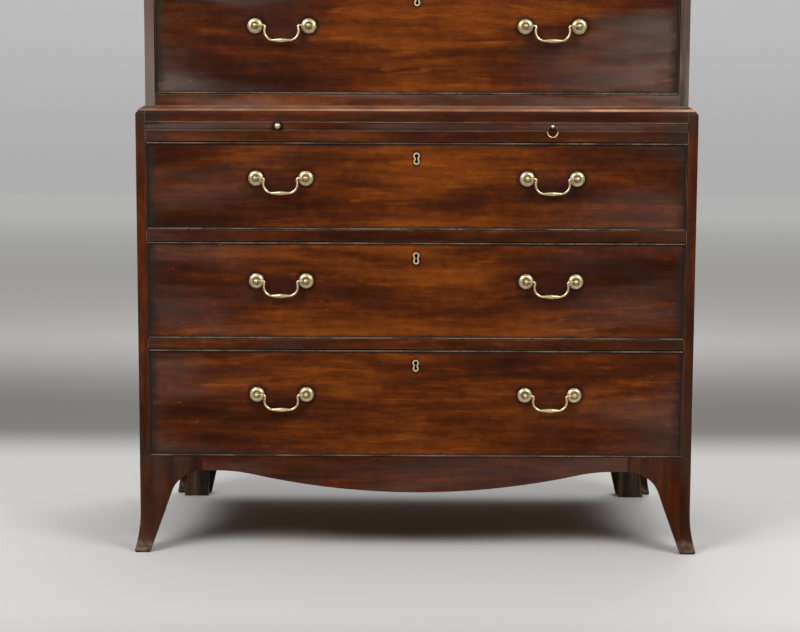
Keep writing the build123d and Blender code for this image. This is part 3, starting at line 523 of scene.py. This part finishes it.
def make_brass(name, settings):
    """Rubbed brass with tarnish, and grime where the mesh says that it gathers: olive patina in the hollows, and
    painted shade on the locks behind the keyholes.
    """
    metal = settings.metal
    finish = Finish(name)
    place = finish.object_place()
    cloud = finish.noise(place, (190.0,) * 3, 3.0)
    speck = finish.noise(place, (900.0,) * 3, 2.0)
    tarnish = (cloud * 0.65 + speck * 0.35).smooth(0.44, 0.66)
    tint = finish.mix(tarnish, metal.bright, metal.dull)
    dirt = (finish.attribute("dirt") * (0.6 + cloud * 0.7)).least(1.0)
    tint = finish.mix(dirt, tint, metal.olive)
    roughness = 0.3 + tarnish * 0.12 + dirt * 0.25
    return finish.surface(tint, roughness, speck, 0.03 * MM, Metallic=1 - dirt * 0.9)


def make_inlaid_brass(name, settings):
    """The key threads: pale flat brass let into the drawer front."""
    finish = Finish(name)
    cloud = finish.noise(finish.object_place(), (420.0,) * 3, 3.0)
    tint = finish.mix(cloud.smooth(0.45, 0.7), settings.metal.inlaid, settings.metal.dull)
    return finish.surface(tint, 0.3 + cloud * 0.2, cloud, 0.03 * MM, Metallic=0.6)


def make_iron(name, settings):
    finish = Finish(name)
    cloud = finish.noise(finish.object_place(), (160.0,) * 3, 4.0)
    tint = finish.mix(cloud.smooth(0.4, 0.7), settings.metal.iron, shade(66, 48, 38))
    return finish.surface(tint, 0.42 + cloud * 0.25, cloud, 0.06 * MM, Metallic=0.85)


def make_floor(name, settings):
    """A pale floor with a soft band of painted shade a step away from the chest, as where a sheet turns up into a
    backdrop, and painted light further out, where it is paler to make up for the lamps' fall-off.
    """
    stage = settings.stage
    finish = Finish(name)
    x, y, _ = finish.split(finish.object_place())
    reach = (abs(x) * 0.62).most(abs(y))
    tint = finish.mix(reach.smooth(0.66, 1.2), stage.near, stage.fold_shade)
    tint = finish.mix(reach.smooth(1.45, 3.8), tint, stage.far)
    tint = finish.mix(reach.smooth(4.0, 26.0), tint, stage.sky)
    return finish.surface(tint, 0.85, Specular_IOR_Level=0.2)


MAKERS = {
    "polished mahogany": make_polished,
    "stained mahogany": make_darkened,
    "figured drawer front": make_figured,
    **dict.fromkeys(TIMBERS, make_plain),
    "aged brass": make_brass,
    "inlaid brass": make_inlaid_brass,
    "worn iron": make_iron,
    "pale floor": make_floor,
}


def cad_solids(node):
    """The closed solids of a node, each as its corners and its triangles."""
    mesh = frame["nodes"][node].data
    mesh.calc_loop_triangles()
    solids, corners, triangles, open_edges = [], {}, [], {}
    for triangle in mesh.loop_triangles:
        ends = [tuple(round(part, 7) for part in mesh.vertices[index].co) for index in triangle.vertices]
        indices = [corners.setdefault(end, len(corners)) for end in ends]
        if len(set(indices)) == 3:
            triangles.append(indices)
        for start, end in zip(ends, ends[1:] + ends[:1]):
            if open_edges.get((end, start)):
                open_edges[(end, start)] -= 1
                if not open_edges[(end, start)]:
                    del open_edges[(end, start)]
            else:
                open_edges[(start, end)] = open_edges.get((start, end), 0) + 1
        if not open_edges:
            solids.append((list(corners), triangles))
            corners, triangles = {}, []
    if triangles:
        solids.append((list(corners), triangles))
    return solids


def welded(solids):
    """The solids in one bmesh, each closed by itself, with flat stretches as single faces."""
    made = bmesh.new()
    for corners, triangles in solids:
        points = [made.verts.new(corner) for corner in corners]
        for triangle in triangles:
            if not made.faces.get([points[index] for index in triangle]):
                made.faces.new([points[index] for index in triangle])
    bmesh.ops.dissolve_limit(made, angle_limit=FLAT_TURN, verts=made.verts, edges=made.edges)
    return made


def islands(made):
    """The separate groups of corners of a bmesh, in the order of its corners."""
    seen = set()
    for start in made.verts:
        if start in seen:
            continue
        group, reach = [], [start]
        seen.add(start)
        while reach:
            corner = reach.pop()
            group.append(corner)
            for edge in corner.link_edges:
                other = edge.other_vert(corner)
                if other not in seen:
                    seen.add(other)
                    reach.append(other)
        yield group


def box_of(corners):
    low = Vector([min(corner[axis] for corner in corners) for axis in range(3)])
    high = Vector([max(corner[axis] for corner in corners) for axis in range(3)])
    return low, high


def soften(made, width, wear_and_highlight=None):
    """Rounds the outward edges. The new faces are worn, or every face takes what the given function says of its
    middle, where values above 1 stand for a painted highlight.
    """
    worn = made.faces.layers.float.new("edge_wear")
    rounded = {"faces": []}
    if width:
        least_turn = math.radians(28)
        edges = [edge for edge in made.edges
                 if edge.is_manifold and edge.is_convex and edge.calc_face_angle() > least_turn]
        rounded = bmesh.ops.bevel(made, geom=edges, offset=width, offset_type="OFFSET", segments=2,
                                  profile=0.5, affect="EDGES", clamp_overlap=False)
    for face in made.faces if wear_and_highlight else rounded["faces"]:
        face[worn] = wear_and_highlight(face.calc_center_median()) if wear_and_highlight else 1.0


def mark_boards(made, node, bloom=0.0, tone=0.0, clean=0.0):
    """Gives every board its own frame: along its length, across its face and through it.

    Boards at the back are darker."""
    place, half = [made.verts.layers.float_vector.new(name) for name in ("board_place", "board_half")]
    marks = [made.verts.layers.float.new(name) for name in ("board_seed", "bead", "bloom", "tone", "clean")]
    for group in islands(made):
        low, high = box_of([corner.co for corner in group])
        size = high - low
        middle = (low + high) / 2
        order = sorted(range(3), key=lambda axis: -size[axis])
        seed = random.Random("{} {:.3f} {:.3f} {:.3f}".format(node, *middle)).random()
        bead = float(size[order[1]] < BEAD_WIDTH)
        values = (seed, bead, bloom, tone + BACK_TONE * (middle.y > BACK_START), clean)
        for corner in group:
            away = corner.co - middle
            corner[place] = [away[axis] for axis in order]
            corner[half] = [size[axis] / 2 for axis in order]
            for mark, value in zip(marks, values):
                corner[mark] = value


def mark_handles(made, drawer, handle):
    """Tells a drawer front where its posts and its keyhole are."""
    place, reach = [made.verts.layers.float_vector.new(name) for name in ("handle_place", "handle_reach")]
    depth = made.verts.layers.float.new("front_depth")
    low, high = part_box(f"{drawer}_front")
    middle = (low.x + high.x) / 2
    bails = bails_of(drawer)
    pivot = PIVOT_OF[bails[0]]
    spread, drop = bail_size(bails[0], handle)
    offset = abs(pivot.x - middle)
    for corner in made.verts:
        corner[place] = (corner.co.x - middle, corner.co.z - pivot.z, corner.co.z - high.z + handle.key_drop)
        corner[reach] = (offset, spread, drop)
        corner[depth] = corner.co.y - low.y


def bails_of(drawer):
    return sorted(body for body in PIVOT_OF if body.startswith(f"{drawer}_bail_"))


def bail_size(bail, handle):
    """Half the distance between a bail's posts, and how far it hangs."""
    low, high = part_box(bail)
    return (high.x - low.x) / 2 - handle.pin_length, PIVOT_OF[bail].z - low.z - handle.grip


def settled(name, data):
    """A new object with that mesh, camera or lamp, in the scene."""
    made = bpy.data.objects.new(name, data)
    bpy.context.scene.collection.objects.link(made)
    return made


def evaluated(made):
    """Replaces an object's mesh by what its modifiers make of it, and takes them off."""
    bpy.context.view_layer.update()
    graph = bpy.context.evaluated_depsgraph_get()
    mesh = bpy.data.meshes.new_from_object(made.evaluated_get(graph), preserve_all_data_layers=True,
                                           depsgraph=graph)
    made.modifiers.clear()
    made.data = mesh
    mesh.name = made.name
    return made


def smoothed(made, turn=50.0):
    """Smooth shading whose flat faces stay flat."""
    made.data.shade_smooth()
    made.data.set_sharp_from_angle(angle=math.radians(turn))
    even = made.modifiers.new("even normals", "WEIGHTED_NORMAL")
    even.keep_sharp = True
    return evaluated(made)


def mesh_from(name, made):
    """A mesh from a bmesh, which is then let go."""
    mesh = bpy.data.meshes.new(name)
    made.to_mesh(mesh)
    made.free()
    return mesh


def piece(node, suffix, made, *finish_names):
    """A finished piece from a bmesh. It stands for a CAD node and rides on that node's body."""
    name = f"{node}_{suffix}"
    mesh = mesh_from(name, made)
    for finish_name in finish_names:
        mesh.materials.append(finish_named(finish_name))
    return stand_in(smoothed(settled(name, mesh)), node)


def stand_in(found, node):
    """The object takes the CAD node's place and body."""
    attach(found, BODY_OF[node])
    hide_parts(node)
    return found


def wooden(node, finish_name, rounding=1.0, wear_and_highlight=None, **look):
    """A wooden node with its boards marked for their grain. Rounding is a share of the set softness."""
    made = welded(cad_solids(node))
    soften(made, bpy.context.scene.chest.wood.softness * rounding, wear_and_highlight)
    mark_boards(made, node, **look)
    return piece(node, "wood", made, finish_name)


def turned(profile, turns=40):
    """A shape turned about the axis that points out of a drawer front.

    The profile has a radius, a height above the front and the dirt at each of its points."""
    made = bmesh.new()
    dirt = made.verts.layers.float.new("dirt")
    rings = []
    for radius, height, grime in profile:
        count = 1 if radius == 0 else turns
        ring = []
        for index in range(count):
            angle = 2 * math.pi * index / count
            corner = made.verts.new((radius * math.cos(angle), -height, radius * math.sin(angle)))
            corner[dirt] = grime
            ring.append(corner)
        rings.append(ring)
    for first, second in zip(rings, rings[1:]):
        for index in range(turns):
            after = (index + 1) % turns
            corners = [first[index % len(first)], first[after % len(first)],
                       second[after % len(second)], second[index % len(second)]]
            made.faces.new(list(dict.fromkeys(corners)))
    bmesh.ops.recalc_face_normals(made, faces=made.faces)
    return made


def arc(centre, radii, start, end, steps, grime):
    """Points on a quarter or other part of an ellipse, for a turned profile."""
    points = []
    for step in range(steps + 1):
        angle = math.radians(start + (end - start) * step / steps)
        points.append((centre[0] + radii[0] * math.cos(angle), centre[1] + radii[1] * math.sin(angle), grime))
    return points


def rose_and_post(handle):
    """One handle post with its rose, standing on the drawer front at the origin."""
    rim_round = 0.5 * MM
    step_in = handle.rose_radius - 2 * rim_round
    back = handle.front_thickness + handle.nut_thickness + 1.4 * MM
    profile = [(0, -back, 0.4), (handle.shank_radius, -back, 0.4), (handle.shank_radius, 0, 0.9),
               (handle.rose_radius, 0, 0.9)]
    profile += arc((handle.rose_radius - rim_round, handle.rose_rim - rim_round), (rim_round, rim_round),
                   0, 90, 3, 0.25)
    dome_start = handle.rose_rim * 0.8
    profile += arc((handle.crown_radius, dome_start),
                   (step_in - handle.crown_radius, handle.rose_height - dome_start), 0, 90, 12, 0.0)
    hollow_middle = (handle.crown_radius + handle.neck_radius) / 2
    half_hollow = (handle.crown_radius - handle.neck_radius) / 2
    dip = arc((hollow_middle, handle.rose_height), (half_hollow, handle.hollow), 0, -180, 10, 0.75)
    profile += dip[1:]
    ball_back = math.degrees(math.asin(handle.neck_radius / handle.ball_radius))
    collar = handle.neck_radius * 1.25
    middle = (handle.rose_height + handle.stand - handle.ball_radius) / 2
    profile += [(collar, handle.rose_height + 0.3 * MM, 0.9), (collar, handle.rose_height + 0.9 * MM, 0.6)]
    profile += [(handle.neck_radius, middle + 0.6 * MM, 0.8)]
    ball = arc((0, handle.stand), (handle.ball_radius, handle.ball_radius), ball_back - 90, 90, 14, 0.25)
    profile += ball[:-1] + [(0, handle.stand + handle.ball_radius, 0.25)]
    return turned(profile)


class Maker(Net):
    """A geometry tree with named inputs, whose result is real and has a material."""

    def __init__(self, name, **kinds):
        super().__init__(bpy.data.node_groups.new(name, "GeometryNodeTree"))
        kinds = {"Geometry": "Geometry", **kinds, "Finish": "Material"}
        for title, kind in kinds.items():
            socket = self.tree.interface.new_socket(title.replace("_", " "), in_out="INPUT",
                                                    socket_type=f"NodeSocket{kind}")
            if kind == "Float":
                socket.subtype = "DISTANCE"
        self.tree.interface.new_socket("Geometry", in_out="OUTPUT", socket_type="NodeSocketGeometry")
        self.given = self.node("NodeGroupInput")

    def end(self, geometry):
        real = self.node("GeometryNodeRealizeInstances", {0: geometry})
        done = self.node("GeometryNodeSetMaterial",
                         {"Geometry": real, "Material": self.given.output("Finish")})
        self.node("NodeGroupOutput", {0: done})
        return self.tree


def grown(name, mesh, tree, **inputs):
    """What a geometry tree makes of a mesh, as a plain object."""
    found = settled(name, mesh)
    modifier = found.modifiers.new(tree.name, "NODES")
    modifier.node_group = tree
    for item in tree.interface.items_tree:
        key = item.name.replace(" ", "_")
        if item.in_out == "INPUT" and key in inputs:
            modifier[item.identifier] = inputs[key]
    return evaluated(found)


def copies_tree():
    """A node tree that sets a copy of one object on every point."""
    net = Maker("copies at points", Copy="Object")
    copy = net.node("GeometryNodeObjectInfo", {"Object": net.given.output("Copy")}, "Geometry")
    return net.end(net.node("GeometryNodeInstanceOnPoints", {"Points": net.given, "Instance": copy}))


def bail_tree():
    """A node tree that rounds the corners of a path and makes a bail of it, with a swelling grip."""
    net = Maker("bail on a path", Wire="Float", Grip="Float", Grip_half="Float", Pin="Float",
                Pin_start="Float")
    given = net.given
    bend = net.node("GeometryNodeInputNamedAttribute", {"Name": "bend"}, data_type="FLOAT")
    path = net.node("GeometryNodeMeshToCurve", {"Mesh": given})
    bent = net.node("GeometryNodeFilletCurve",
                    {"Curve": path, "Count": 24, "Radius": bend, "Limit Radius": True}, mode="POLY")
    even = net.node("GeometryNodeResampleCurve", {"Curve": bent, "Length": 0.7 * MM}, mode="LENGTH")
    side, _, level = net.split(net.node("GeometryNodeInputPosition"))
    from_middle = abs(side)
    taper = 1 - (from_middle / given.output("Grip half")).least(1.0) ** 1.2
    low = level.within(-20 * MM, -10 * MM)
    wire = given.output("Wire")
    thick = wire + (given.output("Grip") - wire) * taper * low
    inside = (from_middle - given.output("Pin start")).smooth(0.0, 0.7 * MM)
    thick = thick + (given.output("Pin") - thick) * inside
    ring = net.node("GeometryNodeCurvePrimitiveCircle", {"Resolution": 20, "Radius": 1.0})
    sized = net.node("GeometryNodeCurveToMesh",
                     {"Curve": even, "Profile Curve": ring, "Scale": thick, "Fill Caps": True})
    dirt = (from_middle - given.output("Pin start")).smooth(-7 * MM, 0.0) * 0.7
    soiled = net.node("GeometryNodeStoreNamedAttribute",
                      {"Geometry": sized, "Name": "dirt", "Value": dirt}, data_type="FLOAT", domain="POINT")
    return net.end(soiled)


def bail(node, handle, tree):
    """A swan-neck bail hanging from its pivot."""
    spread, drop = bail_size(node, handle)
    half = [(spread + handle.pin_length, 0, 0), (spread - 5 * MM, 0, 0),
            (handle.neck_half, handle.neck_rise, handle.neck_bend),
            (handle.hip_half, -drop, handle.hip_bend)]
    corners = half + [(-side, level, bend) for side, level, bend in reversed(half)]
    mesh = bpy.data.meshes.new(f"{node}_brass")
    mesh.from_pydata([(side, 0, level) for side, level, _ in corners],
                     [(index, index + 1) for index in range(len(corners) - 1)], [])
    bends = mesh.attributes.new("bend", "FLOAT", "POINT")
    bends.data.foreach_set("value", [bend for _, _, bend in corners])
    found = grown(mesh.name, mesh, tree, Wire=handle.wire, Grip=handle.grip, Grip_half=handle.grip_half,
                  Pin=handle.pin, Pin_start=spread - handle.ball_radius, Finish=finish_named("aged brass"))
    found.data.transform(Matrix.Translation(PIVOT_OF[node]))
    return stand_in(smoothed(found), node)


def parted(node, keep):
    """The welded islands of a node whose box passes a test, as a bmesh."""
    made = bmesh.new()
    made.from_mesh(frame["nodes"][node].data)
    bmesh.ops.remove_doubles(made, verts=made.verts, dist=1e-6)
    unwanted = []
    for group in list(islands(made)):
        if not keep(*box_of([corner.co for corner in group])):
            unwanted += group
    bmesh.ops.delete(made, geom=unwanted, context="VERTS")
    bmesh.ops.dissolve_limit(made, angle_limit=FLAT_TURN, verts=made.verts, edges=made.edges)
    return made


def soil(made, amount):
    """An even amount of dirt over a whole shape."""
    dirt = made.verts.layers.float.new("dirt")
    for corner in made.verts:
        corner[dirt] = amount
    return made


def fittings(drawer, handle, tree, post):
    """Thread, lock, roses, posts and nuts of a drawer."""
    node = f"{drawer}_fittings"
    low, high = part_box(f"{drawer}_front")
    pivots = [(PIVOT_OF[body], bail_size(body, handle)[0]) for body in bails_of(drawer)]
    face = pivots[0][0].y + handle.stand
    places = [(pivot.x + side * spread, face, pivot.z) for pivot, spread in pivots for side in (-1, 1)]
    mesh = bpy.data.meshes.new(f"{drawer}_posts")
    mesh.from_pydata(places, [], [])
    posts = grown(mesh.name, mesh, tree, Copy=post, Finish=finish_named("aged brass"))
    made = soil(parted(node, lambda least, most: least.y > face - 1 * MM), 0.35)
    key_depth = 8 * MM
    key_half = 8 * MM
    # Painted shade: the lock's faces that show through the keyhole are made nearly black with grime, so that the
    # keyhole looks dark
    painted_keyhole_shade = 1.7
    for corner in made.verts:
        if key_depth < corner.co.y - face < handle.front_thickness + 2 * MM:
            corner[made.verts.layers.float["dirt"]] = painted_keyhole_shade
    made.from_mesh(posts.data)
    bpy.data.objects.remove(posts)
    for found in made.faces:
        middle = found.calc_center_median()
        at_key = abs(middle.x - (low.x + high.x) / 2) < key_half and middle.y < face + key_depth
        found.material_index = int(at_key)
    return piece(node, "brass", made, "aged brass", "inlaid brass")


class ChestOperator:
    """What all buttons of the panel share."""

    bl_options = {"REGISTER", "UNDO"}

    def execute(self, context):
        self.make(context.scene.chest)
        return {"FINISHED"}


class CHEST_OT_case_boards(ChestOperator, bpy.types.Operator):
    """Case sides, rails, dust boards and back boards"""
    bl_idname = "chest.case_boards"
    bl_label = "Case boards"

    def make(self, chest):
        # The upper case gets far more of the grey veil, which stands partly for the lamps' sheen that falls mostly
        # high up
        for case, bloom, tone in (("lower", 0.08, 0.0), ("upper", 0.8, 0.03)):
            wooden(f"{case}_case_sides", "polished mahogany", bloom=bloom, tone=tone - 0.02)
            wooden(f"{case}_case_rails", "polished mahogany", bloom=bloom * 0.6, tone=tone)
            wooden(f"{case}_dust_and_back_boards", "aged pine")


class CHEST_OT_base(ChestOperator, bpy.types.Operator):
    """Aprons, splay feet and the blocks behind them"""
    bl_idname = "chest.base"
    bl_label = "Base and feet"

    def make(self, chest):
        for node, bloom, tone, clean in (("base_aprons", 0.2, 0.02, 1.0), ("splay_feet", 0.08, -0.02, 0.5)):
            wooden(node, "polished mahogany", 0.5, lambda middle: 0.0, bloom=bloom, tone=tone, clean=clean)
        wooden("foot_blocks", "rough foot block")


class CHEST_OT_mouldings(ChestOperator, bpy.types.Operator):
    """Waist moulding and cornice"""
    bl_idname = "chest.mouldings"
    bl_label = "Mouldings"

    def make(self, chest):
        low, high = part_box("waist_moulding")

        def wear_and_highlight(middle):
            """The nose is rubbed most and carries the strongest painted highlight, then the top edge."""
            if 1.5 * MM < middle.z - low.z < 5 * MM:
                return 1.9
            return 1.5 if high.z - middle.z < 1 * MM else 0.3

        wooden("waist_moulding", "polished mahogany", 0.5, wear_and_highlight, bloom=0.3, tone=0.05)
        wooden("cornice", "polished mahogany", 0.5)


class CHEST_OT_slide(ChestOperator, bpy.types.Operator):
    """Brushing slide with its knob, eye and ring"""
    bl_idname = "chest.slide"
    bl_label = "Brushing slide"

    def make(self, chest):
        low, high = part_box("slide_board")

        def wear_and_highlight(middle):
            """The front is rubbed along its upper and lower edge, and these pale lines are also a painted
            highlight.
            """
            return float(middle.y < low.y + 1 * MM and min(middle.z - low.z, high.z - middle.z) < 1.4 * MM)

        wooden("slide_board", "stained mahogany", 0.5, wear_and_highlight, bloom=0.3)
        # The ring is darker on its upper half
        for node, dirt in (("slide_pulls", 0.0), ("slide_ring", 1.0)):
            made = soil(parted(node, lambda least, most: True), 0.08)
            low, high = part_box(node)
            for corner in made.verts:
                corner[made.verts.layers.float["dirt"]] += dirt * (corner.co.z > (low.z + high.z) / 2)
            piece(node, "brass", made, "aged brass")


class CHEST_OT_drawer_fronts(ChestOperator, bpy.types.Operator):
    """Drawer fronts with their beads"""
    bl_idname = "chest.drawer_fronts"
    bl_label = "Drawer fronts"

    def make(self, chest):
        for drawer in DRAWERS:
            node = f"{drawer}_front"
            made = welded(cad_solids(node))
            soften(made, 0)
            # The lowest upper drawer gets more of the painted sheen
            mark_boards(made, node, bloom=0.42 if drawer == "upper_bottom_drawer" else 0.14,
                        tone=FRONT_TONES.get(drawer, 0.0))
            mark_handles(made, drawer, chest.handle)
            piece(node, "wood", made, "figured drawer front")


class CHEST_OT_drawer_boxes(ChestOperator, bpy.types.Operator):
    """Oak sides, backs and bottoms of the drawers"""
    bl_idname = "chest.drawer_boxes"
    bl_label = "Drawer boxes"

    def make(self, chest):
        for drawer in DRAWERS:
            wooden(f"{drawer}_box", "bare oak")


class CHEST_OT_fittings(ChestOperator, bpy.types.Operator):
    """Roses, posts, nuts, key threads and locks"""
    bl_idname = "chest.fittings"
    bl_label = "Brass fittings"

    def make(self, chest):
        post = settled("post", mesh_from("post", rose_and_post(chest.handle)))
        post.data.materials.append(finish_named("aged brass"))
        tree = copies_tree()
        for drawer in DRAWERS:
            fittings(drawer, chest.handle, tree, post)
        bpy.data.objects.remove(post)


class CHEST_OT_bails(ChestOperator, bpy.types.Operator):
    """Swan-neck bails"""
    bl_idname = "chest.bails"
    bl_label = "Bails"

    def make(self, chest):
        tree = bail_tree()
        for drawer in DRAWERS:
            for node in bails_of(drawer):
                bail(node, chest.handle, tree)


class CHEST_OT_bolts(ChestOperator, bpy.types.Operator):
    """Lock bolts"""
    bl_idname = "chest.bolts"
    bl_label = "Lock bolts"

    def make(self, chest):
        for drawer in DRAWERS:
            made = welded(cad_solids(f"{drawer}_bolt"))
            soften(made, 0.4 * MM)
            piece(f"{drawer}_bolt", "iron", made, "worn iron")


class CHEST_OT_stage(ChestOperator, bpy.types.Operator):
    """Camera, floor, lamps and backdrop"""
    bl_idname = "chest.stage"
    bl_label = "Camera and light"

    def make(self, chest):
        stage = chest.stage
        scene = bpy.context.scene
        scene.view_settings.view_transform = "Standard"
        half = stage.floor_size / 2
        mesh = bpy.data.meshes.new("floor")
        mesh.from_pydata([(-half, -half, 0), (half, -half, 0), (half, half, 0), (-half, half, 0)], [],
                         [(0, 1, 2, 3)])
        mesh.materials.append(finish_named("pale floor"))
        settled("floor", mesh)
        self.light_room(stage)
        for side, (place, size) in LAMPS.items():
            self.hang_lamp(f"{side} lamp", getattr(stage, side), place, size)
        camera = bpy.data.cameras.new("camera")
        camera.lens = stage.lens
        found = settled("camera", camera)
        turn = Euler((math.pi / 2 - stage.pitch, 0, stage.yaw)).to_matrix().to_4x4()
        found.matrix_world = Matrix.Translation(stage.camera) @ turn @ Matrix.Rotation(stage.roll, 4, "Z")
        scene.camera = found

    def light_room(self, stage):
        """A grey backdrop for the camera and for what glossy surfaces show, and a soft ceiling of light."""
        world = bpy.data.worlds.new("room")
        world.use_nodes = True
        bpy.context.scene.world = world
        net = Net(world.node_tree)
        net.tree.nodes.clear()
        ray = net.node("ShaderNodeLightPath", output="Is Camera Ray")
        seen = ray.most(ray.output("Is Glossy Ray")).most(ray.output("Is Transmission Ray"))
        _, _, up = net.split(net.node("ShaderNodeTexCoord", output="Generated"))
        fill = stage.walls + up.smooth(0.5, 0.8) * (stage.ceiling - stage.walls)
        shown = net.mix(up.smooth(0.0, 0.14), stage.backdrop, stage.backdrop_high)
        tint = net.mix(seen, fill, shown)
        light = net.node("ShaderNodeBackground", {"Color": tint, "Strength": 1.0})
        net.node("ShaderNodeOutputWorld", {"Surface": light})

    def hang_lamp(self, name, power, place, size):
        lamp = bpy.data.lights.new(name, "AREA")
        lamp.shape = "RECTANGLE"
        lamp.size, lamp.size_y = size
        lamp.energy = power
        found = settled(name, lamp)
        found.location = place
        found.rotation_euler = (LAMP_AIM - Vector(place)).to_track_quat("-Z", "Y").to_euler()


OPERATORS = (
    CHEST_OT_case_boards, CHEST_OT_base, CHEST_OT_mouldings, CHEST_OT_slide, CHEST_OT_drawer_fronts,
    CHEST_OT_drawer_boxes, CHEST_OT_fittings, CHEST_OT_bails, CHEST_OT_bolts, CHEST_OT_stage,
)


class CHEST_PT_panel(bpy.types.Panel):
    """Buttons and settings of the chest"""
    bl_idname = "CHEST_PT_panel"
    bl_label = "Chest on chest"
    bl_space_type = "VIEW_3D"
    bl_region_type = "UI"
    bl_category = "Chest"

    def draw(self, context):
        for operator in OPERATORS:
            self.layout.operator(operator.bl_idname)
        for group in ("wood", "metal", "handle", "stage"):
            settings = getattr(context.scene.chest, group)
            box = self.layout.box()
            for name in settings.bl_rna.properties.keys():
                if name not in ("rna_type", "name"):
                    box.prop(settings, name)


CLASSES = (WoodSettings, MetalSettings, HandleSettings, StageSettings, ChestSettings) + OPERATORS + (
    CHEST_PT_panel,)


def register():
    for found in CLASSES:
        bpy.utils.register_class(found)
    bpy.types.Scene.chest = PointerProperty(type=ChestSettings)


def unregister():
    del bpy.types.Scene.chest
    for found in reversed(CLASSES):
        bpy.utils.unregister_class(found)


def main():
    register()
    for operator in OPERATORS:
        family, action = operator.bl_idname.split(".")
        getattr(getattr(bpy.ops, family), action)()


if __name__ == "__main__":
    main()
